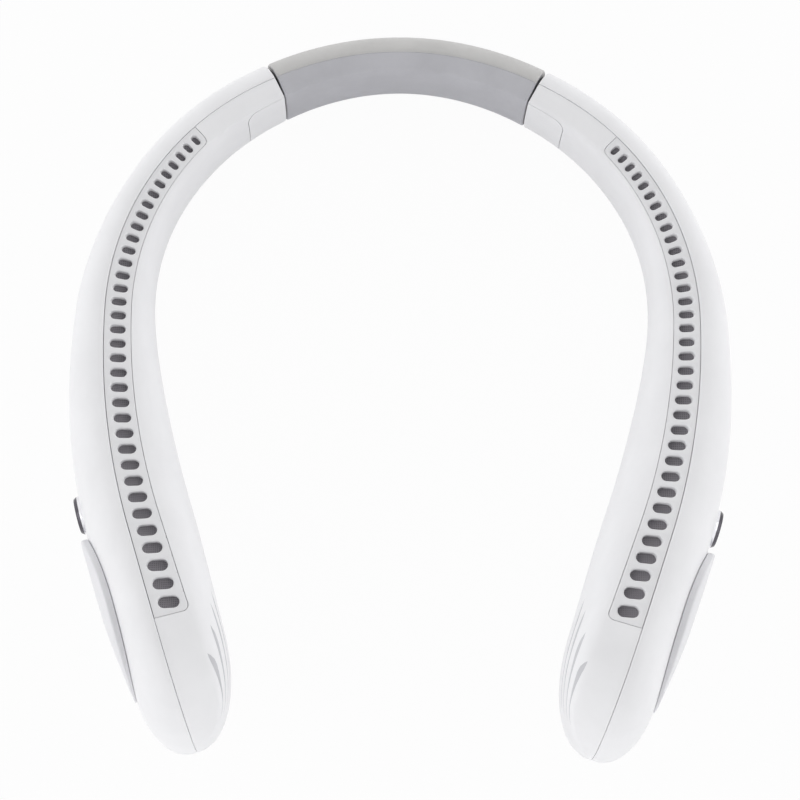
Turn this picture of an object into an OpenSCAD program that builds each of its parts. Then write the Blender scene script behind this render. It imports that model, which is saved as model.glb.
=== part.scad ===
// Electric neck fan: two moulded arms with a blower in each tip, hinged to a soft band.
// Millimetres. X to the right, Y to the back of the neck, Z up. The fan lies on its underside,
// and the origin is the middle of its box, on the surface that it lies on.
// A place on an arm is given by its length along the parting line from the middle of the band,
// its offset outwards from that line, and its height.

/* [Overall form] */
// Length from the back of the band to the tips
overall_l = 228; // [214:1:242]
// Radius of the parting line round the back of the neck
neck_r = 89; // [84:1:94]
// Radius of the gentle bend ahead of the neck
side_r = 215; // [190:5:250]
// Turn of that bend, in degrees
side_turn = 18.5; // [15:0.5:20]
// Height of the casing at the blower
fan_h = 60; // [58:0.5:64]
// Width of the casing at the blower, without the cover
fan_w = 32; // [31:0.5:35]
// Length over which the tip rounds off on its outer side
tip_round_out = 20; // [16:1:24]
// Length over which the tip rounds off on its inner side
tip_round_in = 32; // [26:1:38]

/* [Casing] */
// Wall of the moulded shells
wall = 1.6; // [1.4:0.1:1.8]
// Gap at the parting line between the shells
part_gap = 0.1; // [0.06:0.02:0.2]
// Clearance between a moulded piece and its seat
seat_gap = 0.15; // [0.1:0.05:0.25]
// Tilt of the outlet strip towards the neck, in degrees
strip_tilt = 17; // [12:1:22]
// Tilt of the top face at the middle of the band, in degrees
band_tilt = 36; // [28:1:42]

/* [Outlet grille] */
// Number of slots on each arm
slot_count = 35; // [20:1:40]
// Start of the grille, along the parting line from the middle of the band
strip_start = 73; // [73:1:84]
// Distance from the front end of the grille to the tip
strip_to_tip = 36; // [34:1:42]
// Width of the grille at its back end
strip_w_back = 6.1; // [5.6:0.1:6.1]
// Width of the grille at its front end
strip_w_front = 10.3; // [9.5:0.1:11]
// Length of the first slot, across the grille
slot_l_back = 3.2; // [2.8:0.1:3.4]
// Length of the last slot, across the grille
slot_l_front = 6; // [5:0.1:6.6]
// Width of the first slot, along the grille
slot_w_back = 1.9; // [1.5:0.1:2.2]
// Width of the last slot, along the grille
slot_w_front = 3.5; // [2.8:0.1:3.8]
// Thickness of the grille, flange included
grille_t = 2.4; // [2.2:0.1:2.8]
// Width of the flange under the outer shell
grille_flange = 1.2; // [0.8:0.1:1.6]

/* [Air duct] */
// Depth of the duct under the grille
duct_depth = 10; // [8:0.5:11]
// Wall of the duct
duct_wall = 1; // [0.8:0.1:1.2]

/* [Band and hinge] */
// Half length of the band, along the parting line
band_half = 42; // [38:1:46]
// Gap between the band and an arm, at the hinge pin
hinge_gap = 0.7; // [0.6:0.05:0.9]
// Wedge of that gap, open to the outside, in degrees
gap_wedge = 3.2; // [2.6:0.1:4]
// Wall of the silicone sleeve
sleeve_wall = 2; // [1.6:0.1:2.2]
// Radius of the hinge pin
pin_r = 0.9; // [0.7:0.1:1]
// Length of the hinge pin
pin_l = 15.4; // [14.8:0.2:16]
// Offset of the pin from the parting line, towards the neck
hinge_in = 2; // [1.8:0.1:2.2]
// Outer radius of the hinge ears and barrel
barrel_r = 1.8; // [1.6:0.1:1.8]
// Length of the middle barrel
barrel_l = 8; // [6:0.5:8]
// Length of each outer ear
ear_l = 3; // [2.5:0.5:3]
// Running clearance of the hinge, on the radius
hinge_fit = 0.04; // [0.02:0.01:0.08]
// Gap between the ears and the barrel, along the pin
ear_gap = 0.3; // [0.2:0.05:0.4]
// Length of the hinge blocks along the arm
block_l = 8; // [6:0.5:9]
// Thickness of the spring strip in the band
spring_t = 0.8; // [0.6:0.1:1]
// Height of the spring strip
spring_h = 12; // [10:0.5:14]
// Radius of the rivets that hold the spring strip
rivet_r = 0.8; // [0.6:0.1:1]
// Radius of the cable in the band
cable_r = 1.1; // [0.8:0.1:1.3]
// Length of the hinge cover along the arm
pad_l = 14.5; // [12.5:0.5:15]

/* [Blower] */
// Distance from the blower's axis to the tip
blower_to_tip = 40; // [39:0.5:41]
// Reach of the housing from the parting line, towards the neck
housing_back = 6.8; // [6.4:0.1:7.2]
// Reach of the housing from the parting line, away from the neck
housing_front = 6.3; // [6:0.1:6.6]
// Clearance behind the impeller
blade_clear = 1.4; // [1.2:0.1:1.6]
// Gap between the stator and the magnet ring
rotor_gap = 0.7; // [0.5:0.1:0.8]
// Thickness of the magnet ring
magnet_t = 1.1; // [0.9:0.1:1.2]
// Gap between the impeller and the scroll
scroll_gap = 3; // [2.6:0.1:3.4]
// Clearance ahead of the impeller
front_clear = 0.5; // [0.4:0.1:0.8]
// Number of blades
blade_count = 28; // [18:1:32]
// Thickness of a blade
blade_t = 0.8; // [0.6:0.1:1]
// Inner radius of the ring of blades, as a share of the impeller's
blade_in_share = 0.75; // [0.72:0.01:0.78]
// Radius of the hub, as a share of the impeller's
hub_share = 0.6; // [0.56:0.01:0.62]
// Room between the scroll and the top of the casing
scroll_room = 9; // [8.6:0.1:9.8]
// Shift of the scroll from the impeller, towards its outlet
scroll_shift = 1.2; // [0.6:0.2:1.6]
// Wall of the blower housing
housing_wall = 1; // [0.8:0.1:1.1]
// How far the edge of the air inlet stands inside the ring of blades
inlet_lip = 0.5; // [0.3:0.1:0.8]
// Length of the outlet neck ahead of the scroll
outlet_run = 3; // [2.5:0.1:3.2]
// Height of the outlet neck
outlet_h = 8.4; // [7.6:0.2:8.6]
// Radius of the motor shaft
shaft_r = 1; // [0.8:0.1:1.2]
// Outer radius of the bearings
bearing_r = 2.5; // [2.4:0.1:3]
// Length of a bearing
bearing_l = 1.8; // [1.4:0.1:2.2]
// Number of stator teeth
tooth_count = 9; // [6:3:12]
// Running clearance of the shaft in its bearings, on the radius
shaft_fit = 0.03; // [0.02:0.01:0.06]

/* [Intake cover and guard] */
// Reach of the cover past the guard, above and below
cover_rim = 4.4; // [4:0.1:5]
// How much longer than high the cover is
cover_stretch = 12; // [11:0.5:13]
// Shift of the cover from the blower's axis, towards the band
cover_shift = 4; // [3.6:0.1:4.2]
// Thickness of the cover
cover_t = 1.4; // [1.2:0.1:1.8]
// Air gap under the cover
cover_gap = 0.9; // [0.8:0.1:1.4]
// How much wider than the air inlet the opening in the outer shell is, on the radius
intake_clear = 1; // [0.5:0.1:1.2]
// Thickness of the guard
guard_t = 1.2; // [1:0.1:1.4]
// Width of the guard's bars
guard_bar = 1; // [0.8:0.1:1.2]
// Radius of the cover's posts
post_r = 1.4; // [1.2:0.1:1.6]

/* [Button, board and cell] */
// Radius of the button's cap
button_r = 4.6; // [4:0.1:5]
// Width of the bright ring round the button
bezel_w = 1.2; // [1:0.1:1.4]
// How far the bright ring stands out of the casing
bezel_out = 1.8; // [1.4:0.1:2.2]
// Travel of the button
button_travel = 0.6; // [0.4:0.1:0.8]
// Distance from the blower's axis to the button, along the arm
button_back = 36.8; // [36.6:0.1:38]
// Length of the circuit board
board_l = 19; // [18:0.5:20]
// Clearance between the circuit board and the duct
board_clear = 2; // [1.5:0.5:4]
// Thickness of the circuit board
board_t = 1.2; // [1:0.1:1.6]
// Start of the cell, as a share of the parting line's length
cell_start_share = 0.469; // [0.46:0.005:0.52]
// Thickness of the frame's walls
frame_t = 1.6; // [1.4:0.1:2]

/* [Charging socket] */
// Width of the socket
socket_w = 9; // [8.8:0.1:9.4]
// Thickness of the socket
socket_t = 3.2; // [3:0.1:3.4]
// Depth of the socket
socket_d = 7.3; // [6.8:0.1:7.6]
// Radius of the light window
light_r = 1; // [0.8:0.1:1.2]

/* [Hidden] */
$fn = 48;
overrun = 0.5;

// The casing's form at places chosen by hand along the path: share of the path, then the
// widths outside and inside the parting line as shares of fan_w, and the heights of the top
// and the underside as shares of fan_h.
form_shares = [
    [0.00, 0.270, 0.170, 0.450, 0.000],
    [0.15, 0.268, 0.208, 0.465, 0.000],
    [0.27, 0.270, 0.256, 0.530, 0.030],
    [0.38, 0.278, 0.312, 0.590, 0.052],
    [0.50, 0.338, 0.408, 0.660, 0.058],
    [0.63, 0.404, 0.530, 0.770, 0.040],
    [0.74, 0.418, 0.582, 0.885, 0.012],
    [0.83, 0.411, 0.564, 0.970, 0.000],
    [0.90, 0.392, 0.540, 1.000, 0.000],
    [1.00, 0.390, 0.520, 1.000, 0.000]];
// Height of the widest place, as a share of the casing's height there
belly_share = 0.47;
// Half width of the flat underside, as a share of the width on each side
flat_share = 0.36;
// Fullness of the outer face above and below the belly, and of the tip's outline
crown_power = 2.1;
keel_power = 2.6;
nose_out_power = 2.2;
nose_in_power = 2;
// Widest the top face may be on the inner side, as a share of the inner width
top_face_share = 0.86;
// Least wall length left beside the top face
lip_min = 0.3;

// Path of the parting line
neck_arc_l = neck_r * PI / 2;
side_arc_l = side_r * side_turn * PI / 180;
rear_reach = neck_r + fan_w * form_shares[0][1];
side_end_y = side_r * sin(side_turn);
straight_l = (overall_l - rear_reach - side_end_y) / cos(side_turn);
path_l = neck_arc_l + side_arc_l + straight_l;
fan_r = fan_h / 2;
fan_s = path_l - fan_r;

function turn(s) = s < neck_arc_l ? s / neck_r * 180 / PI
    : s < neck_arc_l + side_arc_l ? 90 + (s - neck_arc_l) / side_r * 180 / PI
    : 90 + side_turn;
function out_dir(s) = [sin(turn(s)), cos(turn(s))];
function run_dir(s) = [cos(turn(s)), -sin(turn(s))];
function side_point(s) = [neck_r - side_r, 0] + side_r * out_dir(s);
function path_point(s) = s < neck_arc_l ? neck_r * out_dir(s)
    : s < neck_arc_l + side_arc_l ? side_point(s)
    : side_point(neck_arc_l + side_arc_l) + (s - neck_arc_l - side_arc_l) * run_dir(s);
function on_path(s, p) = let(c = path_point(s), n = out_dir(s)) [c[0] + p[0] * n[0], c[1] + p[0] * n[1], p[1]];

// A smooth curve through one column of the form's table
function row_at(x, i = 0) = i >= len(form_shares) - 2 || x < form_shares[i + 1][0] ? i : row_at(x, i + 1);
function grade(i, c) = i == 0 ? 0
    : let(b = min(i + 1, len(form_shares) - 1))
    (form_shares[b][c] - form_shares[i - 1][c]) / (form_shares[b][0] - form_shares[i - 1][0]);
function form(s, c) = let(x = s / path_l, i = row_at(x), p = form_shares[i], q = form_shares[i + 1],
    w = q[0] - p[0], t = (x - p[0]) / w, u = 1 - t)
    p[c] * u * u * (1 + 2 * t) + q[c] * t * t * (1 + 2 * u) + w * u * t * (grade(i, c) * u - grade(i + 1, c) * t);

// Sizes of the casing at a place, with its skin moved in by inset
function nose(s, inset, l, power) = let(u = (s - path_l + l) / (l - inset))
    u <= 0 ? 1 : pow(max(0, 1 - pow(u, power)), 1 / power);
function skin_s(s, inset) = s <= fan_s ? s : fan_s + (s - fan_s) * (fan_r - inset) / fan_r;
function out_w(s, inset) = (fan_w * form(s, 1) - inset) * nose(s, inset, tip_round_out, nose_out_power);
function in_w(s, inset) = (fan_w * form(s, 2) - inset) * nose(s, inset, tip_round_in, nose_in_power);
function cap_h(s, inset) = sqrt(max(0, pow(fan_r - inset, 2) - pow(s - fan_s, 2)));
function top_z(s, inset) = s <= fan_s ? fan_h * min(1, form(s, 3)) - inset : fan_r + cap_h(s, inset);
function low_z(s, inset) = s <= fan_s ? fan_h * max(0, form(s, 4)) + inset : fan_r - cap_h(s, inset);
function belly_z(s, inset) = low_z(s, inset) + (top_z(s, inset) - low_z(s, inset)) * belly_share;

// The top face on the inner side, which holds the grille
strip_end = path_l - strip_to_tip;
function strip_share(s) = max(0, min(1, (s - strip_start) / (strip_end - strip_start)));
function strip_w(s) = strip_w_back + (strip_w_front - strip_w_back) * strip_share(s);
function face_w(s, inset) = min(strip_w(s), in_w(s, 0) * top_face_share, in_w(s, inset) - min(lip_min, in_w(s, inset) / 2));
function face_tilt(s) = s > strip_start ? strip_tilt : band_tilt + (strip_tilt - band_tilt) * s / strip_start;

// Half outlines of the casing at a place, from the parting line on top to the one below
half_steps = 5;
function bow(a, power) = pow(max(0, a), 2 / power);
function outer_half(s0, inset) = let(s = skin_s(s0, inset), w = out_w(s, inset), t = top_z(s, inset),
    l = low_z(s, inset), m = belly_z(s, inset), f = w * flat_share, g = min(part_gap / 2, f / 2))
    concat([[g, t]],
    [for (i = [1 : half_steps]) let(a = 90 * i / half_steps)
        [w * bow(sin(a), crown_power), m + (t - m) * bow(cos(a), crown_power)]],
    [for (i = [1 : half_steps]) let(a = 90 * i / half_steps)
        [f + (w - f) * bow(cos(a), keel_power), m - (m - l) * bow(sin(a), keel_power)]],
    [[g, l]]);
function inner_half(s0, inset) = let(s = skin_s(s0, inset), w = in_w(s, inset), t = top_z(s, inset),
    l = low_z(s, inset), m = belly_z(s, inset), f = w * flat_share, g = min(part_gap / 2, f / 2),
    e = face_w(s, inset), k = min(tan(face_tilt(s)), (t - m) / 2 / max(w, part_gap)),
    p = [e, t - e * k], q = [w, t - w * k], r = [w, m])
    concat([[-g, t]],
    [for (i = [0 : half_steps - 1]) let(u = i / (half_steps - 1), v = 1 - u, b = v * v * p + 2 * u * v * q + u * u * r)
        [-b[0], b[1]]],
    [for (i = [1 : half_steps]) let(a = 90 * i / half_steps)
        [-f - (w - f) * bow(cos(a), keel_power), m - (m - l) * bow(sin(a), keel_power)]],
    [[-g, l]]);
function backwards(list) = [for (i = [len(list) - 1 : -1 : 0]) list[i]];
function whole_outline(s, inset) = let(row = inner_half(s, inset))
    concat(outer_half(s, inset), [for (i = [len(row) - 2 : -1 : 1]) row[i]]);

// Stations along an arm: hinge cover, shoulder, grille, neck of the tip, tip
arm_start = band_half + hinge_gap;
pad_cells = 2;
shoulder_cells = 3;
strip_cells = 20;
tip_rings = 9;
tip_sweep = 87;
arm_stations = concat(
    [for (i = [0 : pad_cells - 1]) arm_start + pad_l * i / pad_cells],
    [for (i = [0 : shoulder_cells - 1]) arm_start + pad_l + (strip_start - arm_start - pad_l) * i / shoulder_cells],
    [for (i = [0 : strip_cells]) strip_start + (strip_end - strip_start) * i / strip_cells],
    [for (i = [0 : tip_rings]) fan_s + fan_r * sin(tip_sweep * sin(90 * i / tip_rings))]);
first_strip_cell = pad_cells + shoulder_cells;
// The hinge cover goes from the edge of the top face to under the belly
pad_first = 2;
pad_last = half_steps + 2;

// Middle of the box along Y, so that the origin is under it
front_reach = max([for (s = arm_stations) for (p = outer_half(s, 0)) -on_path(s, p)[1]]);
neck_y = (front_reach - rear_reach) / 2;

// Hinge
hinge_s = band_half + hinge_gap / 2;
hinge_z = belly_z(hinge_s, 0);
// Room round the ears and the barrel, and between the two blocks and the gap
ear_clear = 0.4;
ear_room = 5;
block_clear = 0.9;
block_cells = 1;
band_block_s = band_half - block_clear - block_l / 2;
arm_block_s = arm_start + block_clear + block_l / 2;
function hinge_row(s, pts, inset = 0) = [for (p = pts)
    on_path(s == arm_start ? s + (p[0] + hinge_in) * tan(gap_wedge) : skin_s(s, inset), p)];

// Band
band_cells = 14;
core_cells = 12;
core_reach = band_half - block_clear - block_l - seat_gap;
spring_x = 0.6;
spring_reach = core_reach + block_l * 5 / 8;
rivet_s = core_reach + block_l * 3 / 8;
rivet_reach = 2;
cable_x = 3.6;
cable_z = hinge_z + spring_h / 2 + cable_r + 2 * seat_gap;

// Grille and duct
slot_edge = 2;
slot_steps = 6;
pitch_share = 0.65;
function slot_sum(i) = i * pitch_share + i * (i - 1) / 2 * (1 - pitch_share) / (slot_count - 2);
function slot_s(i) = strip_start + slot_edge + slot_w_back / 2
    + (strip_end - strip_start - 2 * slot_edge - slot_w_back / 2 - slot_w_front / 2) * slot_sum(i) / slot_sum(slot_count - 1);
// The slots ahead of the side bend stay closer to square with the neck than with the arm
slot_turn_share = 0.6;
function slot_skew(s) = max(0, turn(s) - 90) * slot_turn_share;
duct_cells = 20;
duct_in = 0.4;
// Stretch in which the duct's floor falls to the blower's outlet
duct_drop_l = 2.4;
// Height of the outer shell's underside at an offset beside the parting line
function under_z(s, x) = let(row = outer_half(s, wall), a = row[0], b = row[1])
    a[1] + (b[1] - a[1]) * (x - a[0]) / (b[0] - a[0]);
function duct_floor_z(s) = top_z(s, 0) - grille_t - 2 * seat_gap - duct_depth - duct_wall;

// Louvres on the inner side of the tip: each one's height as a share of the casing's there, and
// its start and its end as shares of fan_r from the middle of the tip's round towards the band
louvre_shares = [[0.845, -0.10, -0.74], [0.780, 0.18, -0.76], [0.675, 0.36, -0.76], [0.550, 0.50, -0.74]];
louvre_h = 4.8;
louvre_depth = 1.1;
louvre_end_share = 0.3;
// How far a groove's edges start outside the face
louvre_lift = 0.1;
louvre_cells = 6;
louvre_steps = 4;
// Offset of the inner face at a height, read along the casing's outline
function in_at(z, row, j) = row[j + 1][1] <= z ? -row[j][0] + (row[j][0] - row[j + 1][0]) * (row[j][1] - z)
    / (row[j][1] - row[j + 1][1]) : in_at(z, row, j + 1);
function inner_face(s, z) = in_at(z, inner_half(s, 0), 0);
// Section of the groove at a place and a share of the height, at share u of its length
function louvre_ring(s, share, u) = let(d = louvre_depth * (1 - u * (1 - louvre_end_share)), l = low_z(s, 0),
    c = top_z(s, 0) - l, z = l + c * share, b = louvre_h / 2 * c / fan_h)
    concat([for (i = [-louvre_steps : louvre_steps]) let(a = 90 * i / louvre_steps, h = z + b * sin(a))
        [-inner_face(s, h) + d * cos(a) - louvre_lift, h]],
    [for (i = [1, -1]) let(h = z + i * b) [-inner_face(s, h) - overrun, h]]);

// Places across and along the arm that several pieces share
blower_s = path_l - blower_to_tip;
fan_z = fan_r;
button_drop = 3;
button_z = fan_z - button_drop;
board_s = blower_s - button_back;
board_x = 5.6;
board_z = 5;
board_h = duct_floor_z(board_s) - board_clear - board_z;
// The cell fills the room between the frame's rail and the duct, and between the casing's sides.
// It is straight, so its middle lies to one side of the bent path.
cell_start = path_l * cell_start_share;
cell_end = board_s - board_l / 2 - 2 * frame_t;
cell_s = (cell_start + cell_end) / 2;
cell_l = cell_end - cell_start;
cell_bow = cell_l * cell_l / 8 / side_r;
cell_in = cell_bow + (in_w(cell_start, wall) - out_w(cell_start, wall)) / 2;
cell_under = 1.2;
cell_side = 1.4;
cell_low = low_z(cell_start, 0) + wall + 2 * seat_gap + frame_t + cell_under;
cell_top = duct_floor_z(cell_start) - seat_gap;
cell_z = (cell_low + cell_top) / 2;
cell_r = min((cell_top - cell_low) / 2, (in_w(cell_start, wall) + out_w(cell_start, wall)) / 2 - cell_side);
cell_seats = [cell_s - cell_l * 3 / 8, cell_s + cell_l * 3 / 8];
plate_gap = 0.18;
rail_w = 5;
rail_cells = 10;
rail_start = cell_seats[0] - frame_t / 2;
rail_end = board_s + board_l / 2;

// Blower
scroll_r = fan_r - scroll_room - scroll_shift;
impeller_r = scroll_r - scroll_gap;
blade_in_r = impeller_r * blade_in_share;
hub_r = impeller_r * hub_share;
stator_r = hub_r - blade_t - magnet_t - rotor_gap;
inlet_r = blade_in_r - inlet_lip;
outlet_l = scroll_r + outlet_run;
disc_x = blade_clear - housing_back + housing_wall;
blade_w = housing_front - housing_wall - front_clear - disc_x - 2 * blade_t;
hub_x = disc_x + blade_w * 7 / 8;
tube_x = hub_x - blade_t - 4 * seat_gap;
flange_x = housing_wall - housing_back + seat_gap / 2;
outlet_z = 9.6;
tooth_w = 1.4;
flange_t = 0.8;
// Thickness of the stator's rings, as a share of its depth
stator_share = 0.16;
stator_t = (stator_r - bearing_r) * stator_share;

// Intake: guard, cover posts and screws, each place given from the blower's axis
oval_steps = 40;
intake_r = inlet_r + intake_clear;
guard_rim = 1.5;
guard_r = intake_r + guard_rim;
guard_x = 7.6;
cover_s = blower_s - cover_shift;
cover_h = 2 * (guard_r + cover_rim);
cover_l = cover_h + cover_stretch;
cover_first = cover_s - cover_l / 2 - (strip_end - strip_start) / strip_cells;
cover_last = cover_s + cover_l / 2 + fan_r / 4;
// The cover sinks towards its front end
cover_sink_share = 0.7;
function cover_lift(s, h) = let(u = max(0, min(1, (s - cover_s) / cover_l * 2))) h * (1 - cover_sink_share * u * u);
post_turns = [0, 72, 180, 288];
post_ring_share = 0.84;
function post_place(a) = [cover_shift + cover_l / 2 * post_ring_share * cos(a), fan_z + cover_h / 2 * post_ring_share * sin(a)];
post_places = [for (a = post_turns) post_place(a)];
screw_clear = 0.6;
screw_r = 1;
screw_head_r = 1.9;
screw_ring_r = guard_r + screw_head_r + screw_clear;
screw_places = [for (a = [27, 207]) [screw_ring_r * cos(a), fan_z + screw_ring_r * sin(a)]];
screw_head_t = 0.7;
function post_seat(p) = out_at(blower_s - p[0], p[1], 0);
function screw_seat(p) = out_at(blower_s - p[0], p[1], 0) - wall * 5 / 8;
function screw_boss(p) = min([for (i = [-1, 1]) out_at(blower_s - p[0], p[1] + i * screw_head_r, wall)])
    - 2 * seat_gap;

// Button and its ring
button_fit = 0.1;
lip_t = 0.8;
bezel_r = button_r + button_fit + bezel_w;
bezel_lip_r = button_r + bezel_w - button_fit;
// The ring reaches behind the wall, which curves away from it above and below
bezel_back = 0.9;
bezel_x = out_at(board_s, button_z, wall) - bezel_back;
bezel_top = out_at(board_s, button_z, 0) + bezel_out;
chip_t = 1.2;
switch_w = 6;
switch_t = 1.6;
// The button's stem, and the top of the switch's plunger just under its pressed place
stem_l = 0.4;
switch_x = bezel_x - lip_t - stem_l - button_travel - 2 * seat_gap;

// Charging socket, under the board's lower edge
socket_wall = 0.35;
socket_x = board_x + board_t + seat_gap + socket_t / 2;
socket_z = keel_z(board_s, socket_x, 0) + seat_gap;
light_x = board_x + board_t + seat_gap + light_r;
light_y = board_l / 2 - light_r * 2;
light_z = keel_z(board_s, light_x, 0) + seat_gap;

function kept_inner(k, j) = !(j == 0 && k >= first_strip_cell && k < first_strip_cell + strip_cells)
    && !(k < pad_cells && j >= pad_first && j <= pad_last);
function flipped(faces, flip) = flip ? [for (f = faces) backwards(f)] : faces;

// Closed wall between two matching grids of points, over the kept cells. A capped wall is
// closed across its last row too.
module skin(outside, inside, keep, around = false, flip = false, capped = false) {
    rows = len(outside);
    cols = len(outside[0]);
    count = rows * cols;
    last = around ? cols - 1 : cols - 2;
    function id(k, j) = k * cols + (j % cols);
    function kept(k, j) = k >= 0 && k < rows - 1 && (around || (j >= 0 && j <= last)) && keep(k, j);
    function edge(p, q) = [[q, p, p + count], [q, p + count, q + count]];
    faces = [for (k = [0 : rows - 2]) for (j = [0 : last]) if (kept(k, j))
        let(a = id(k, j), b = id(k + 1, j), c = id(k + 1, j + 1), d = id(k, j + 1), n = [count, count, count])
        each concat([[a, b, c], [a, c, d], [c, b, a] + n, [d, c, a] + n],
            kept(k, j - 1) ? [] : edge(a, b), kept(k + 1, j) || (capped && k == rows - 2) ? [] : edge(b, c),
            kept(k, j + 1) ? [] : edge(c, d), kept(k - 1, j) ? [] : edge(d, a))];
    first = id(rows - 1, 0);
    end = id(rows - 1, cols - 1);
    caps = capped ? [[for (i = [end : -1 : first]) i], [for (i = [first : end]) i + count],
        [end, first, first + count], [end, first + count, end + count]] : [];
    polyhedron(concat([for (r = outside) each r], [for (r = inside) each r]), flipped(concat(faces, caps), flip));
}

// Solid through a row of closed outlines
module loft(rings, flip = false) {
    rows = len(rings);
    cols = len(rings[0]);
    function id(k, j) = k * cols + (j % cols);
    faces = concat(
        [for (k = [0 : rows - 2]) for (j = [0 : cols - 1])
            let(a = id(k, j), b = id(k + 1, j), c = id(k + 1, j + 1), d = id(k, j + 1))
            each [[a, b, c], [a, c, d]]],
        [[for (j = [0 : cols - 1]) id(0, j)]],
        [[for (j = [cols - 1 : -1 : 0]) id(rows - 1, j)]]);
    polyhedron([for (r = rings) each r], flipped(faces, flip));
}

// Frames: the whole path, one place on it (X outwards, Y towards the band), and a cylinder across it
module placed() {
    translate([0, neck_y, 0]) children();
}
module at(s) {
    placed() translate([path_point(s)[0], path_point(s)[1], 0]) rotate([0, 0, 90 - turn(s)]) children();
}
module across(x0, x1, r, y = 0, z = 0) {
    translate([x0, y, z]) rotate([0, 90, 0]) cylinder(r = r, h = x1 - x0);
}
module side_plate(x0, x1) {
    translate([x0, 0, 0]) rotate([90, 0, 90]) linear_extrude(x1 - x0) children();
}
module cross_plate(t) {
    rotate([90, 0, 0]) linear_extrude(t, center = true) children();
}
module left() {
    mirror([1, 0, 0]) children();
}

// Offset of the outer face at a height, and the height of its keel at an offset
function out_at(s0, z, inset) = let(s = skin_s(s0, inset), w = out_w(s, inset), t = top_z(s, inset),
    m = belly_z(s, inset), l = low_z(s, inset), f = w * flat_share)
    z >= m ? w * pow(1 - pow((z - m) / (t - m), crown_power), 1 / crown_power)
    : f + (w - f) * pow(1 - pow((m - z) / (m - l), keel_power), 1 / keel_power);
function keel_z(s, x, inset) = let(w = out_w(s, inset), m = belly_z(s, inset), l = low_z(s, inset), f = w * flat_share)
    m - (m - l) * pow(1 - pow(max(0, x - f) / (w - f), keel_power), 1 / keel_power);

// Band
module neck_band() {
    stations = [for (i = [0 : band_cells]) band_half * (2 * i / band_cells - 1)];
    color("darkgray") placed() skin(
        [for (s = stations) [for (p = whole_outline(abs(s), 0)) on_path(s, p)]],
        [for (s = stations) [for (p = whole_outline(abs(s), sleeve_wall)) on_path(s, p)]],
        function(k, j) true, around = true, flip = true);
}
module arc_band(x0, x1, z0, z1, reach) {
    a = reach / neck_r * 180 / PI;
    placed() rotate([0, 0, 90 - a]) rotate_extrude(angle = 2 * a)
        translate([neck_r + x0, z0]) square([x1 - x0, z1 - z0]);
}
module arc_rod(x, z, r, reach) {
    a = reach / neck_r * 180 / PI;
    placed() rotate([0, 0, 90 - a]) rotate_extrude(angle = 2 * a) translate([neck_r + x, z]) circle(r);
}
module spring_shape(gap) {
    arc_band(spring_x - gap, spring_x + spring_t + gap, hinge_z - spring_h / 2 - gap, hinge_z + spring_h / 2 + gap,
        spring_reach + gap);
}
module cable_shape(gap) {
    arc_rod(cable_x, cable_z, cable_r + gap, band_half - block_clear);
}
module band_core() {
    stations = [for (i = [0 : core_cells]) core_reach * (2 * i / core_cells - 1)];
    color("dimgray") difference() {
        placed() loft([for (s = stations) [for (p = whole_outline(abs(s), sleeve_wall + seat_gap)) on_path(s, p)]],
            flip = true);
        spring_shape(seat_gap);
        cable_shape(seat_gap);
    }
}
module spring_strip() {
    color("silver") difference() {
        spring_shape(0);
        rivet_places() across(-barrel_r, spring_x + rivet_reach, rivet_r + hinge_fit);
    }
}
module rivet_places() {
    for (m = [0, 1]) mirror([m, 0, 0]) at(rivet_s) for (z = [-1, 1]) translate([0, 0, hinge_z + z * spring_h / 4])
        children();
}
module spring_rivets() {
    color("gray") rivet_places() {
        across(spring_x - rivet_reach, spring_x + spring_t + rivet_reach, rivet_r);
    }
}
module cable_in_band() {
    color("black") cable_shape(0);
}
module block(s, inset) {
    placed() loft([for (i = [-block_cells : block_cells]) let(a = s + block_l / 2 * i / block_cells)
        [for (p = whole_outline(a, inset)) on_path(a, p)]], flip = true);
}
module band_knuckle() {
    color("slategray") difference() {
        union() {
            block(band_block_s, sleeve_wall + seat_gap);
            at(hinge_s) translate([-hinge_in, 0, hinge_z - barrel_l / 2]) {
                cylinder(r = barrel_r, h = barrel_l);
                translate([-barrel_r, 0, 0]) cube([2 * barrel_r, hinge_s - band_block_s, barrel_l]);
            }
        }
        at(hinge_s) translate([-hinge_in, 0, 0]) {
            cylinder(r = pin_r + hinge_fit, h = fan_h);
            for (z = [hinge_z - barrel_l / 2 - ear_gap - ear_room, hinge_z + barrel_l / 2])
                translate([0, 0, z]) cylinder(r = barrel_r + ear_clear, h = ear_room + ear_gap);
        }
        spring_shape(seat_gap);
        cable_shape(seat_gap);
        rivet_places() across(-fan_w, fan_w, rivet_r + hinge_fit);
    }
}

// Arm casing
module outer_shell() {
    color("white") difference() {
        placed() skin([for (s = arm_stations) hinge_row(s, outer_half(s, 0))],
            [for (s = arm_stations) hinge_row(s, outer_half(s, wall), wall)], function(k, j) true, flip = true,
            capped = true);
        at(blower_s) {
            across(0, fan_w, intake_r, z = fan_z);
            for (p = post_places) across(0, fan_w, post_r + seat_gap, y = p[0], z = p[1]);
            for (p = screw_places) {
                across(0, fan_w, screw_r + seat_gap, y = p[0], z = p[1]);
                across(screw_seat(p), fan_w, screw_head_r + seat_gap, y = p[0], z = p[1]);
            }
        }
        at(board_s) across(0, fan_w, bezel_r + seat_gap, z = button_z);
    }
}
module right_outer_shell() {
    difference() {
        outer_shell();
        at(board_s) {
            socket_shape(seat_gap, -overrun, socket_z + socket_d);
            translate([light_x, light_y, -overrun]) cylinder(r = light_r + seat_gap, h = socket_z + wall * 3);
        }
    }
}
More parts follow.
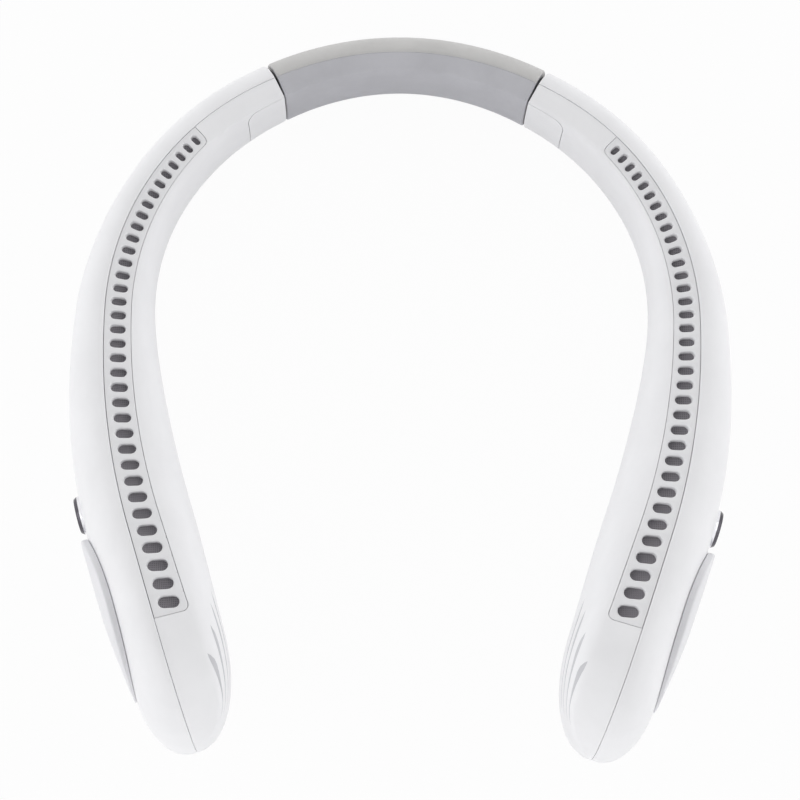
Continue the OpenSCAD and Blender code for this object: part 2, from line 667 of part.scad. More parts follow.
module inner_shell() {
    color("whitesmoke") difference() {
        placed() skin([for (s = arm_stations) hinge_row(s, inner_half(s, 0))],
            [for (s = arm_stations) hinge_row(s, inner_half(s, wall), wall)], function(k, j) kept_inner(k, j),
            capped = true);
        placed() for (q = louvre_shares) loft([for (i = [0 : louvre_cells])
            let(u = i / louvre_cells, s = fan_s - fan_r * (q[1] + (q[2] - q[1]) * u))
            [for (p = louvre_ring(s, q[0], u)) on_path(s, p)]]);
    }
}
module outlet_grille() {
    first = strip_start + seat_gap;
    last = strip_end - seat_gap;
    color("lightgray") difference() {
        placed() loft([for (i = [0 : strip_cells]) let(s = first + (last - first) * i / strip_cells,
            t = top_z(s, 0), e = strip_w(s) - seat_gap, k = tan(strip_tilt), g = seat_gap)
            [for (p = [[-g, t - wall - g], [-g, t - g * k], [-e, t - e * k], [-e, t - e * k - grille_t],
                [0, t - grille_t], [grille_flange, t - grille_t],
                [grille_flange, under_z(s, grille_flange) - g]]) on_path(s, p)]]);
        for (i = [0 : slot_count - 1]) let(s = slot_s(i), u = i / (slot_count - 1),
            l = slot_l_back + (slot_l_front - slot_l_back) * u, w = slot_w_back + (slot_w_front - slot_w_back) * u)
            at(s) translate([-strip_w(s) / 2, 0, top_z(s, 0) / 2]) rotate([0, 0, slot_skew(s)]) slot(l, w, top_z(s, 0));
    }
}
module slot(l, w, h) {
    linear_extrude(h) polygon([for (x = [1, -1]) for (i = [0 : slot_steps]) let(a = 180 * i / slot_steps - 90)
        [x * ((l - w) / 2 + w / 2 * cos(a)), x * w / 2 * sin(a)]]);
}
module air_duct() {
    first = strip_start + 2 * seat_gap;
    last = blower_s - outlet_l - seat_gap;
    run = last - duct_drop_l - first - duct_wall;
    stations = concat([first], [for (i = [0 : duct_cells]) first + duct_wall + run * i / duct_cells], [last]);
    color("dimgray") placed() loft([for (s = stations)
        let(t = top_z(s, 0) - grille_t - seat_gap, k = tan(strip_tilt), a = duct_in, b = face_w(s, wall) - seat_gap,
        w = duct_wall, f = s == last ? fan_z + outlet_z : t - duct_depth, g = s == first ? t - b * k - duct_wall : f)
        [for (p = [[-a, t - a * k], [-a, f - w], [-b, f - w], [-b, t - b * k], [-b + w, t - (b - w) * k],
            [-b + w, g], [-a - w, g], [-a - w, t - (a + w) * k]]) on_path(s, p)]], flip = true);
}
module arm_frame() {
    rail_inset = wall + 2 * seat_gap;
    color("gainsboro") difference() {
        union() {
            for (s = cell_seats) at(s) cross_plate(frame_t) bulkhead(s);
            for (y = [-1, 1]) at(board_s) translate([0, y * board_l / 2, 0]) cross_plate(frame_t)
                bulkhead(board_s - y * board_l / 2);
            placed() loft([for (i = [0 : rail_cells]) let(s = rail_start + (rail_end - rail_start) * i / rail_cells,
                z = low_z(s, rail_inset)) [for (p = [[-rail_w / 2, z], [rail_w / 2, z], [rail_w / 2, z + frame_t],
                [-rail_w / 2, z + frame_t]]) on_path(s, p)]]);
        }
        cell_shape(seat_gap);
        at(board_s) translate([board_x - seat_gap, -board_l / 2 - seat_gap, board_z - seat_gap])
            cube([board_t + 2 * seat_gap, board_l + 2 * seat_gap, fan_h]);
    }
}
module bulkhead(s) {
    intersection() {
        polygon(whole_outline(s, wall + seat_gap + plate_gap));
        translate([-fan_w, 0]) square([2 * fan_w, duct_floor_z(s - frame_t / 2)]);
    }
}
module cell_shape(gap) {
    at(cell_s) translate([-cell_in, 0, cell_z]) rotate([90, 0, 0])
        cylinder(r = cell_r + gap, h = cell_l + 2 * gap, center = true);
}
module battery() {
    color("deepskyblue") cell_shape(0);
}

// Intake
module oval(l, h) {
    polygon([for (i = [0 : oval_steps - 1]) let(a = 360 * i / oval_steps) [l / 2 * cos(a), h / 2 * sin(a)]]);
}
module intake_cover() {
    stations = [for (s = arm_stations) if (s > cover_first && s < cover_last) s];
    color("gainsboro") {
        intersection() {
            placed() skin([for (s = stations) [for (p = outer_half(s, -cover_lift(s, cover_gap + cover_t))) on_path(s, p)]],
                [for (s = stations) [for (p = outer_half(s, -cover_lift(s, cover_gap))) on_path(s, p)]],
                function(k, j) true, flip = true);
            at(cover_s) translate([0, 0, fan_z]) side_plate(0, fan_w) oval(cover_l, cover_h);
        }
        at(blower_s) for (p = post_places) across(post_seat(p) - wall - seat_gap, post_seat(p)
            + cover_lift(blower_s - p[0], cover_gap + cover_t / 2), post_r, y = p[0], z = p[1]);
    }
}
module intake_guard() {
    color("dimgray") at(blower_s) translate([0, 0, fan_z]) side_plate(guard_x, guard_x + guard_t) {
        ring(guard_r, guard_r - guard_bar);
        ring(guard_r * 2 / 3 + guard_bar / 2, guard_r * 2 / 3 - guard_bar / 2);
        circle(guard_r / 3);
        for (a = [0 : 60 : 120]) rotate(a) square([2 * guard_r - guard_bar, guard_bar], center = true);
    }
}
module ring(r_out, r_in) {
    difference() {
        circle(r_out);
        circle(r_in);
    }
}

// Blower
module scroll_outline(grow) {
    translate([scroll_shift, scroll_shift]) circle(scroll_r + grow);
    translate([0, outlet_z - grow]) square([outlet_l, outlet_h + 2 * grow]);
}
module fan_housing() {
    color("dimgray") at(blower_s) translate([0, 0, fan_z]) difference() {
        union() {
            side_plate(-housing_back, housing_front) scroll_outline(housing_wall);
            side_plate(housing_front, guard_x - seat_gap) ring(guard_r, inlet_r);
            for (p = screw_places) across(housing_front - housing_wall, screw_boss(p), screw_head_r,
                y = p[0], z = p[1] - fan_z);
        }
        side_plate(housing_wall - housing_back, housing_front - housing_wall) {
            scroll_outline(0);
            translate([0, outlet_z]) square([outlet_l + overrun, outlet_h]);
        }
        // Window in the roof, under the last slots
        side_plate(housing_wall - housing_back, -duct_in - duct_wall)
            translate([scroll_r / 2, outlet_z + outlet_h / 2]) square([outlet_l - housing_wall - scroll_r / 2, outlet_h]);
        across(0, fan_w, inlet_r);
        for (p = screw_places) across(housing_front, fan_w, screw_r, y = p[0], z = p[1] - fan_z);
    }
}
module impeller() {
    color("lightslategray") at(blower_s) translate([0, 0, fan_z]) {
        side_plate(disc_x, disc_x + blade_t) ring(impeller_r, hub_r - blade_t);
        side_plate(disc_x + blade_t, disc_x + blade_t + blade_w) for (i = [0 : blade_count - 1])
            rotate(360 * i / blade_count) blade();
        side_plate(disc_x + blade_t + blade_w, disc_x + 2 * blade_t + blade_w) ring(impeller_r, blade_in_r + blade_t);
        side_plate(disc_x, hub_x) ring(hub_r, hub_r - blade_t);
        side_plate(hub_x - blade_t, hub_x) ring(hub_r, shaft_r + shaft_fit / 2);
        side_plate(tube_x + 2 * seat_gap, hub_x) ring(bearing_r, shaft_r + shaft_fit / 2);
    }
}
module blade() {
    d = impeller_r - blade_in_r;
    polygon([[blade_in_r, 0], [blade_in_r + d / 2, d / 6], [impeller_r - blade_t / 4, d * 2 / 3],
        [impeller_r - blade_t / 2, d * 2 / 3 + blade_t], [blade_in_r + d / 2, d / 6 + blade_t], [blade_in_r, blade_t]]);
}
module rotor_ring() {
    color("gray") at(blower_s) translate([0, 0, fan_z])
        side_plate(disc_x, hub_x - blade_t - seat_gap) ring(hub_r - blade_t - shaft_fit, stator_r + rotor_gap);
}
module motor_shaft() {
    color("silver") at(blower_s) across(housing_wall - housing_back + 2 * seat_gap, hub_x, shaft_r, z = fan_z);
}
module motor_bearings() {
    color("silver") at(blower_s) translate([0, 0, fan_z]) for (x = [flange_x + seat_gap, tube_x - bearing_l])
        side_plate(x, x + bearing_l) ring(bearing_r, shaft_r + shaft_fit);
}
module motor_stator() {
    color("peru") at(blower_s) translate([0, 0, fan_z]) {
        side_plate(flange_x, flange_x + flange_t) ring(stator_r, bearing_r + shaft_fit);
        side_plate(flange_x, tube_x) ring(bearing_r + stator_t, bearing_r + shaft_fit);
        side_plate(disc_x + blade_t, tube_x - seat_gap) {
            ring(bearing_r + 2 * stator_t, bearing_r + shaft_fit);
            for (i = [0 : tooth_count - 1]) rotate(360 * i / tooth_count) {
                intersection() {
                    ring(stator_r, stator_r - stator_t);
                    translate([0, -tooth_w]) square([stator_r, 2 * tooth_w]);
                }
                translate([bearing_r + stator_t, -tooth_w / 2])
                    square([stator_r - bearing_r - 3 / 2 * stator_t, tooth_w]);
            }
        }
        side_plate(disc_x + 2 * flange_t, tube_x - flange_t) for (i = [0 : tooth_count - 1])
            rotate(360 * i / tooth_count) translate([bearing_r + 3 * stator_t, -tooth_w])
            square([stator_r - bearing_r - 5 * stator_t, 2 * tooth_w]);
    }
}
module blower_screws() {
    color("silver") at(blower_s) for (p = screw_places) {
        across(housing_front + seat_gap, screw_seat(p) + seat_gap, screw_r - shaft_fit, y = p[0], z = p[1]);
        across(screw_seat(p) + seat_gap / 3, screw_seat(p) + screw_head_t, screw_head_r, y = p[0], z = p[1]);
    }
}

// Control board and button
module circuit_board() {
    color("seagreen") at(board_s) {
        translate([board_x, -board_l / 2, board_z]) cube([board_t, board_l, board_h]);
        translate([board_x - chip_t, -board_l / 4, board_z + board_h / 3]) cube([chip_t, board_l / 2, board_l / 2]);
    }
}
module button_switch() {
    color("black") at(board_s) {
        translate([board_x + board_t, -switch_w / 2, button_z - switch_w / 2]) cube([switch_t, switch_w, switch_w]);
        across(board_x + board_t + switch_t - overrun, switch_x, switch_w / 4, z = button_z);
    }
}
module button_bezel() {
    color("silver") at(board_s) translate([0, 0, button_z]) rotate([0, 90, 0]) rotate_extrude() {
        translate([button_r + button_fit, bezel_x]) square([bezel_w, bezel_top - bezel_x - bezel_w / 2]);
        translate([button_r + button_fit + bezel_w / 2, bezel_top - bezel_w / 2]) circle(bezel_w / 2);
        translate([bezel_lip_r, bezel_x - lip_t]) square([bezel_r + lip_t - bezel_lip_r, lip_t]);
    }
}
module button() {
    color("white") at(board_s) {
        across(bezel_x - 3 * seat_gap, bezel_top - bezel_w, button_r, z = button_z);
        across(bezel_x - lip_t, bezel_x - 2 * seat_gap, bezel_lip_r - button_fit, z = button_z);
        across(switch_x + button_travel + 2 * seat_gap, bezel_x - lip_t / 2, switch_w / 4, z = button_z);
    }
}
module socket_shape(gap, z0, z1) {
    translate([socket_x, 0, z0]) linear_extrude(z1 - z0) {
        square([socket_t + 2 * gap, socket_w - socket_t], center = true);
        for (y = [-1, 1]) translate([0, y * (socket_w - socket_t) / 2]) circle(d = socket_t + 2 * gap);
    }
}
module usb_socket() {
    color("silver") at(board_s) difference() {
        socket_shape(0, socket_z, socket_z + socket_d);
        difference() {
            socket_shape(-socket_wall, socket_z - overrun, socket_z + socket_d - socket_wall * 3);
            translate([socket_x - socket_wall, -socket_w / 3, socket_z + socket_wall])
                cube([2 * socket_wall, socket_w * 2 / 3, socket_d]);
        }
    }
}
module charge_light() {
    color("lightcyan") at(board_s) translate([light_x, light_y, light_z])
        cylinder(r = light_r, h = socket_z + socket_d - light_z);
}

// Hinge on the arm
module hinge_bracket() {
    color("slategray") difference() {
        union() {
            block(arm_block_s, wall + seat_gap);
            at(hinge_s) translate([-hinge_in, 0, 0])
                for (z = [hinge_z - barrel_l / 2 - ear_gap - ear_l, hinge_z + barrel_l / 2 + ear_gap]) {
                    translate([0, 0, z]) cylinder(r = barrel_r, h = ear_l);
                    translate([-barrel_r, hinge_s - arm_block_s, z]) cube([2 * barrel_r, arm_block_s - hinge_s, ear_l]);
                }
        }
        at(hinge_s) translate([-hinge_in, 0, 0]) {
            cylinder(r = pin_r + shaft_fit, h = fan_h);
            translate([0, 0, hinge_z - barrel_l / 2 - ear_gap]) cylinder(r = barrel_r + ear_clear, h = barrel_l + 2 * ear_gap);
        }
    }
}
module hinge_pin() {
    color("silver") at(hinge_s) translate([-hinge_in, 0, hinge_z - pin_l / 2]) cylinder(r = pin_r, h = pin_l);
}
function trimmed(row, g) = let(n = len(row), a = row[1] - row[0], b = row[n - 2] - row[n - 1])
    [for (i = [0 : n - 1]) i == 0 ? row[0] + a * g / norm(a) : i == n - 1 ? row[n - 1] + b * g / norm(b) : row[i]];
function pad_row(s, inset) = let(row = inner_half(s, inset))
    trimmed([for (j = [pad_first : pad_last + 1]) row[j]], seat_gap);
module hinge_cover() {
    stations = [for (i = [0 : pad_cells]) arm_start + (pad_l - seat_gap) * i / pad_cells];
    color("whitesmoke") placed() skin([for (s = stations) hinge_row(s, pad_row(s, 0))],
        [for (s = stations) hinge_row(s, pad_row(s, wall - seat_gap))], function(k, j) true);
}

neck_band();
band_core();
spring_strip();
spring_rivets();
cable_in_band();  // link_cable
left() band_knuckle();  // left_band_knuckle
band_knuckle();  // right_band_knuckle
left() outer_shell();  // left_outer_shell
left() inner_shell();  // left_inner_shell
left() outlet_grille();  // left_outlet_grille
left() air_duct();  // left_air_duct
left() arm_frame();  // left_arm_frame
left() intake_cover();  // left_intake_cover
left() intake_guard();  // left_intake_guard
left() fan_housing();  // left_fan_housing
left() impeller();  // left_impeller
left() rotor_ring();  // left_rotor_ring
left() motor_shaft();  // left_motor_shaft
left() motor_bearings();  // left_motor_bearings
left() motor_stator();  // left_motor_stator
left() battery();  // left_battery
left() circuit_board();  // left_circuit_board
left() button_switch();  // left_button_switch
left() button_bezel();  // left_button_bezel
left() button();  // left_button
left() hinge_bracket();  // left_hinge_bracket
left() hinge_pin();  // left_hinge_pin
left() hinge_cover();  // left_hinge_cover
left() blower_screws();  // left_blower_screws
right_outer_shell();
inner_shell();  // right_inner_shell
outlet_grille();  // right_outlet_grille
air_duct();  // right_air_duct
arm_frame();  // right_arm_frame
intake_cover();  // right_intake_cover
intake_guard();  // right_intake_guard
fan_housing();  // right_fan_housing
impeller();  // right_impeller
rotor_ring();  // right_rotor_ring
motor_shaft();  // right_motor_shaft
motor_bearings();  // right_motor_bearings
motor_stator();  // right_motor_stator
battery();  // right_battery
circuit_board();  // right_circuit_board
button_switch();  // right_button_switch
button_bezel();  // right_button_bezel
button();  // right_button
hinge_bracket();  // right_hinge_bracket
hinge_pin();  // right_hinge_pin
hinge_cover();  // right_hinge_cover
blower_screws();  // right_blower_screws
usb_socket();
charge_light();
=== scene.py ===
"""An electric neck fan: two moulded arms with a blower in each tip, hinged to a soft band."""

import logging
import math
from dataclasses import dataclass
from enum import Enum
from typing import Callable, Iterable, Sequence

import bmesh
import bpy
from mathutils import Matrix, Vector


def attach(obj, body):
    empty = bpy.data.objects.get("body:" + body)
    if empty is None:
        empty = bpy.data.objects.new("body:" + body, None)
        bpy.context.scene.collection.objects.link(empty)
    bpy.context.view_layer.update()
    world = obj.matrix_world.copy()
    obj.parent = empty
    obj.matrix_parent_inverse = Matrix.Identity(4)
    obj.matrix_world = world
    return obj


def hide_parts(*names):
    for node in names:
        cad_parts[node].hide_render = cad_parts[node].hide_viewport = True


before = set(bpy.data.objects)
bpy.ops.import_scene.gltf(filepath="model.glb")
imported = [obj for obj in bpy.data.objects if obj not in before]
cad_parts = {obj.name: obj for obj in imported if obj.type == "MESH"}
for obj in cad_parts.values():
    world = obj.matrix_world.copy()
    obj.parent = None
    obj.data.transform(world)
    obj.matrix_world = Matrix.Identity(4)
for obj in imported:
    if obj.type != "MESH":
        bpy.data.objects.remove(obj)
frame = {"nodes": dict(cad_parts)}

LOG = logging.getLogger("neck_fan")
MM = 0.001
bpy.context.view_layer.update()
WHITE = (1, 1, 1, 1)
QUARTER = (0.0, math.pi / 6, math.pi / 3, math.pi / 2)
EIGHTHS = (math.pi / 8, math.pi / 4, 3 * math.pi / 8, math.pi / 2)

Point2 = tuple[float, float]
Triple = tuple[float, float, float]
Socket = bpy.types.NodeSocket
Feed = Socket | float | Sequence[float]
Loop = list[bmesh.types.BMEdge]


class Side(Enum):
    """Which arm a piece belongs to."""

    LEFT = "left"
    RIGHT = "right"


class Cut(Enum):
    """What a cutter does to a piece."""

    TAKE_AWAY = "DIFFERENCE"
    KEEP_ONLY = "INTERSECT"


def srgb(colour: Triple, *shifts: float) -> tuple[float, float, float, float]:
    """Turns a display colour of 0 to 255 into the linear colour that a shader takes.

    Args:
        colour: the display colour.
        shifts: what is added to it first, as one number or as one each for red, green and blue.

    Returns:
        The linear colour with an alpha of 1.
    """
    steps = shifts if len(shifts) == 3 else (shifts or (0.0,)) * 3
    parts = [(c + step) / 255 for c, step in zip(colour, steps)]
    line = [c / 12.92 if c <= 0.04045 else ((c + 0.055) / 1.055) ** 2.4 for c in parts]
    return (line[0], line[1], line[2], 1.0)


# ---------------------------------------------------------------- finishes


class Wiring:
    """Short calls that add the nodes of a material or of the world and join them."""

    def __init__(self, tree: bpy.types.NodeTree) -> None:
        """Empties the node tree and takes it over."""
        self.tree = tree
        self.tree.nodes.clear()

    def put(self, value: Feed, socket: Socket) -> None:
        """Joins another node's output to a socket, or sets a plain value on it.

        Args:
            value: the output or the value.
            socket: the input that takes it.
        """
        if isinstance(value, bpy.types.NodeSocket):
            self.tree.links.new(value, socket)
        else:
            socket.default_value = value

    def node(self, kind: str, *feeds: Feed, **named: Feed | str) -> bpy.types.bpy_prop_collection:
        """Adds a shader node and feeds its inputs.

        Args:
            kind: the node's type, without the word ShaderNode.
            feeds: values or outputs for its inputs, in order.
            named: values or outputs by input, with _ for a space, and settings by property.

        Returns:
            The node's outputs.
        """
        made = self.tree.nodes.new("ShaderNode" + kind)
        for socket, value in zip(made.inputs, feeds):
            self.put(value, socket)
        for key, value in named.items():
            if hasattr(made, key):
                setattr(made, key, value)
            else:
                self.put(value, made.inputs[key.replace("_", " ")])
        return made.outputs

    def reckon(self, operation: str, first: Feed, second: Feed = 0.0) -> Socket:
        """The result of a Math node on two values or outputs."""
        return self.node("Math", first, second, operation=operation)[0]

    def rays(self, *kinds: str) -> Socket:
        """Picks out kinds of ray.

        Args:
            kinds: words of the Light Path node, as in Is Camera Ray.

        Returns:
            An output that is 1 for those rays and 0 for the others.
        """
        paths = self.node("LightPath")
        last = paths[f"Is {kinds[0]} Ray"]
        for kind in kinds[1:]:
            last = self.reckon("MAXIMUM", last, paths[f"Is {kind} Ray"])
        return last


class Graph(Wiring):
    """A material with one Principled shader, fed by patterns on the object's own coordinates."""

    def __init__(self, name: str) -> None:
        """Starts the material with its shader and output.

        Args:
            name: the material's name.
        """
        self.material = bpy.data.materials.new(name)
        self.material.use_nodes = True
        super().__init__(self.material.node_tree)
        self.output = self.tree.nodes.new("ShaderNodeOutputMaterial")
        self.shader = self.tree.nodes.new("ShaderNodeBsdfPrincipled")
        self.put(self.shader.outputs["BSDF"], self.output.inputs["Surface"])
        self.place = self.node("TexCoord")["Object"]

    def set(self, **values: Feed) -> None:
        """Feeds the shader's inputs, named with _ for a space."""
        for key, value in values.items():
            self.put(value, self.shader.inputs[key.replace("_", " ")])

    def noise(self, scale: float, detail: float = 3.0, roughness: float = 0.5,
              stretch: Triple = (1, 1, 1)) -> Socket:
        """A noise on the object's own coordinates.

        Args:
            scale: features per metre.
            detail: octaves.
            roughness: share of the finer octaves.
            stretch: scale of each axis.

        Returns:
            The noise's factor.
        """
        place = self.node("Mapping", Vector=self.place, Scale=stretch)["Vector"]
        return self.node("TexNoise", Vector=place, Scale=scale, Detail=detail, Roughness=roughness)["Fac"]

    def tone(self, value: Socket, first: Sequence[float], second: Sequence[float],
             low: float = 0.35, high: float = 0.65) -> None:
        """Runs the shader's colour from one tone to another.

        Args:
            value: the pattern.
            first, second: the colours where the pattern is low and high.
            low, high: the values of the pattern that count as such.
        """
        ramp = self.tree.nodes.new("ShaderNodeValToRGB")
        for element, place, colour in zip(ramp.color_ramp.elements, (low, high), (first, second)):
            element.position, element.color = place, colour
        self.put(value, ramp.inputs["Fac"])
        self.set(Base_Color=ramp.outputs["Color"])

    def rough(self, value: Socket, least: float, most: float) -> None:
        """Runs the shader's roughness from least to most along a pattern's middle values."""
        ranged = self.node("MapRange", Value=value, From_Min=0.3, From_Max=0.7, To_Min=least, To_Max=most)
        self.set(Roughness=ranged["Result"])

    def bump(self, *layers: tuple[Socket, float, float]) -> None:
        """Stacks bumps on the shader.

        Args:
            layers: each one's height output, its depth in metres and its strength.
        """
        below: dict[str, Socket] = {}
        for height, depth, strength in layers:
            below = {"Normal": self.node("Bump", Height=height, Distance=depth, Strength=strength,
                                         **below)["Normal"]}
        self.set(**below)


@dataclass(frozen=True)
class Finish:
    """A finish of the fan: its name, its display colour and the way its material is made."""

    name: str
    colour: Triple

    def material(self) -> bpy.types.Material:
        """Builds the material.

        Returns:
            The material, wired for use on a mesh.
        """
        graph = Graph(self.name)
        self.paint(graph)
        return graph.material

    def paint(self, graph: Graph) -> None:
        """Wires the finish into a graph."""
        raise NotImplementedError


@dataclass(frozen=True)
class Moulding(Finish):
    """Moulded plastic: a fine spark-eroded grain, faint flow marks and a little variation of tone."""

    roughness: float = 0.42
    grain: float = 2400.0
    grain_depth: float = 0.00002
    variation: float = 2.0
    coat: float = 0.0

    def paint(self, graph: Graph) -> None:
        """Wires the finish into a graph.

        Args:
            graph: the new material's graph.
        """
        graph.tone(graph.noise(45, 4, 0.6, (1, 1, 1.6)),
                   srgb(self.colour, -self.variation), srgb(self.colour, self.variation))
        graph.rough(graph.noise(420, 5, 0.6), self.roughness - 0.04, self.roughness + 0.05)
        graph.bump((graph.noise(self.grain, 2, 0.5), self.grain_depth, 0.5),
                   (graph.noise(60, 2, 0.4), 0.00006, 0.25))
        graph.set(Specular_IOR_Level=0.45, Coat_Weight=self.coat, Coat_Roughness=0.2)


@dataclass(frozen=True)
class SoftRubber(Finish):
    """Silicone rubber: matte, a touch of sheen, with a fine skin and faint lint."""

    roughness: float = 0.62

    def paint(self, graph: Graph) -> None:
        """Wires the finish into a graph.

        Args:
            graph: the new material's graph.
        """
        graph.tone(graph.noise(70, 5, 0.65), srgb(self.colour, -4), srgb(self.colour, 3))
        graph.rough(graph.noise(900, 4, 0.6), self.roughness - 0.06, self.roughness + 0.06)
        graph.bump((graph.noise(1600, 3, 0.6), 0.00003, 0.6))
        graph.set(Specular_IOR_Level=0.3, Sheen_Weight=0.12, Sheen_Roughness=0.5)


@dataclass(frozen=True)
class Metal(Finish):
    """Metal, from bright plating to dull iron, with fine turning or rolling marks."""

    roughness: float = 0.22
    marks: Triple = (1, 1, 14)
    mark_depth: float = 0.000004

    def paint(self, graph: Graph) -> None:
        """Wires the finish into a graph.

        Args:
            graph: the new material's graph.
        """
        graph.tone(graph.noise(160, 4, 0.6), srgb(self.colour, -6), srgb(self.colour, 6))
        graph.rough(graph.noise(900, 5, 0.7, self.marks), max(0.03, self.roughness - 0.05),
                    self.roughness + 0.07)
        graph.bump((graph.noise(1500, 3, 0.6, self.marks), self.mark_depth, 0.4))
        graph.set(Metallic=1.0)


@dataclass(frozen=True)
class Windings(Finish):
    """Enamelled copper wire wound on the motor's teeth."""

    def paint(self, graph: Graph) -> None:
        """Wires the finish into a graph.

        Args:
            graph: the new material's graph.
        """
        red, green, blue = self.colour
        wire = graph.node("TexWave", Vector=graph.place, Scale=1100, Distortion=0.4)["Fac"]
        graph.tone(wire, srgb((red * 0.5, green * 0.5, blue * 0.5)), srgb(self.colour), 0.1, 0.7)
        graph.bump((wire, 0.00008, 0.8))
        graph.set(Metallic=0.7, Roughness=0.35)


@dataclass(frozen=True)
class Board(Finish):
    """A printed board: green mask over a maze of tracks."""

    def paint(self, graph: Graph) -> None:
        """Wires the finish into a graph.

        Args:
            graph: the new material's graph.
        """
        tracks = graph.node("TexVoronoi", Vector=graph.place, Scale=420, distance="MANHATTAN")["Distance"]
        graph.tone(tracks, srgb(self.colour, 22, 40, 24), srgb(self.colour), 0.2, 0.3)
        graph.bump((tracks, 0.00003, 0.5))
        graph.set(Roughness=0.35, Coat_Weight=0.3)


@dataclass(frozen=True)
class Weave(Finish):
    """A fine woven mesh: threads that cross, with darker holes between them."""

    pitch: float = 0.0006

    def paint(self, graph: Graph) -> None:
        """Wires the finish into a graph.

        Args:
            graph: the new material's graph.
        """
        cloth = graph.reckon("MAXIMUM", *[
            graph.node("TexWave", Vector=graph.place, Scale=0.314 / self.pitch, bands_direction=way)["Fac"]
            for way in "XY"])
        graph.tone(cloth, srgb(self.colour, -26), srgb(self.colour), 0.2, 0.9)
        graph.bump((cloth, 0.0001, 0.5))
        graph.set(Roughness=0.7, Specular_IOR_Level=0.3)


@dataclass(frozen=True)
class Window(Finish):
    """A clear light window, milky with its own scratches."""

    def paint(self, graph: Graph) -> None:
        """Wires the finish into a graph.

        Args:
            graph: the new material's graph.
        """
        graph.tone(graph.noise(600, 4), srgb(self.colour, -8), srgb(self.colour))
        graph.bump((graph.noise(1800, 3), 0.00001, 0.5))
        graph.set(Roughness=0.15, Transmission_Weight=0.35, IOR=1.49)


@dataclass(frozen=True)
class Palette:
    """Every finish of the fan, and which finish each CAD node wears."""

    outer: Finish = Moulding("outer_shell_white", (240, 240, 242), 0.38)
    inner: Finish = Moulding("inner_shell_white", (239, 239, 241), 0.42)
    # Darker plastic that the louvre cutters leave on the floors they cut: painted shade in the recesses under the
    # lips.
    louvre: Finish = Moulding("louvre_floor_painted_shade", (206, 206, 210))
    strip: Finish = Moulding("strip_pale_grey", (230, 230, 232), 0.4, variation=1.5)
    mesh: Finish = Weave("outlet_mesh_grey", (146, 143, 148))
    cover: Finish = Moulding("cover_pale_grey", (228, 228, 231), 0.4)
    cap: Finish = Moulding("button_gloss_white", (240, 240, 242), 0.22, coat=0.4)
    ring: Finish = Metal("ring_bright_plate", (236, 236, 240), 0.12, mark_depth=0.000001)
    # The chrome ring's crest in a dark metal: a painted dark reflection on the ring's one bright plating.
    crest: Finish = Metal("ring_painted_dark_reflection", (96, 94, 100), 0.16, mark_depth=0.000001)
    band: Finish = SoftRubber("band_grey_silicone", (188, 188, 193))
    # A lighter, less blue copy of the band's silicone for its back: painted light on the side that faces back.
    band_back: Finish = SoftRubber("band_back_painted_light", (199, 198, 197))
    duct: Finish = Moulding("duct_grey_plastic", (212, 211, 214), 0.6)
    guard: Finish = Moulding("guard_dark_plastic", (64, 64, 68), 0.55)
    housing: Finish = Moulding("housing_grey_plastic", (200, 199, 202), 0.55)
    wheel: Finish = Moulding("wheel_grey_plastic", (92, 95, 102), 0.45)
    frame: Finish = Moulding("frame_natural_plastic", (206, 206, 202), 0.5)
    hinge: Finish = Moulding("hinge_grey_nylon", (74, 76, 80), 0.5)
    foam: Finish = SoftRubber("core_black_rubber", (48, 48, 51), 0.8)
    cable: Finish = SoftRubber("cable_black", (28, 28, 30), 0.55)
    spring: Finish = Metal("spring_steel", (176, 178, 184), 0.28, (14, 1, 1))
    steel: Finish = Metal("turned_steel", (196, 196, 198), 0.22)
    magnet: Finish = Metal("magnet_dark", (92, 92, 96), 0.45)
    copper: Finish = Windings("winding_copper", (196, 118, 70))
    cell: Finish = Moulding("cell_blue_wrap", (88, 140, 184), 0.3, coat=0.5)
    board: Finish = Board("board_green", (26, 84, 52))
    switch: Finish = Moulding("switch_black", (30, 30, 32), 0.4)
    light: Finish = Window("light_window", (222, 232, 240))

    def node_finishes(self) -> dict[str, Finish]:
        """Lists which finish each kind of CAD node wears.

        Returns:
            The finishes by the node's name without the side.
        """
        return {
            "neck_band": self.band, "band_core": self.foam, "spring_strip": self.spring,
            "spring_rivets": self.steel, "link_cable": self.cable, "band_knuckle": self.hinge,
            "outer_shell": self.outer, "inner_shell": self.inner, "outlet_grille": self.strip,
            "intake_cover": self.cover, "button_bezel": self.ring, "button": self.cap,
            "hinge_cover": self.inner, "air_duct": self.duct, "arm_frame": self.frame,
            "intake_guard": self.guard, "fan_housing": self.housing, "impeller": self.wheel,
            "rotor_ring": self.magnet, "motor_shaft": self.steel, "motor_bearings": self.steel,
            "motor_stator": self.copper, "battery": self.cell, "circuit_board": self.board,
            "button_switch": self.switch, "hinge_bracket": self.hinge, "hinge_pin": self.steel,
            "blower_screws": self.steel, "usb_socket": self.steel, "charge_light": self.light,
        }


class Paintbox:
    """Makes each finish's material once."""

    def __init__(self) -> None:
        """Starts with no material made."""
        self.made: dict[str, bpy.types.Material] = {}

    def of(self, finish: Finish) -> bpy.types.Material:
        """Looks up a finish's material, and makes it the first time.

        Args:
            finish: the finish.

        Returns:
            Its material.
        """
        if finish.name not in self.made:
            self.made[finish.name] = finish.material()
        return self.made[finish.name]


# ---------------------------------------------------------------- the casing's form


@dataclass(frozen=True)
class Station:
    """The casing's sizes at one place on its path, in millimetres."""

    out_w: float
    in_w: float
    top: float
    low: float
    belly: float
    face: float
    slope: float


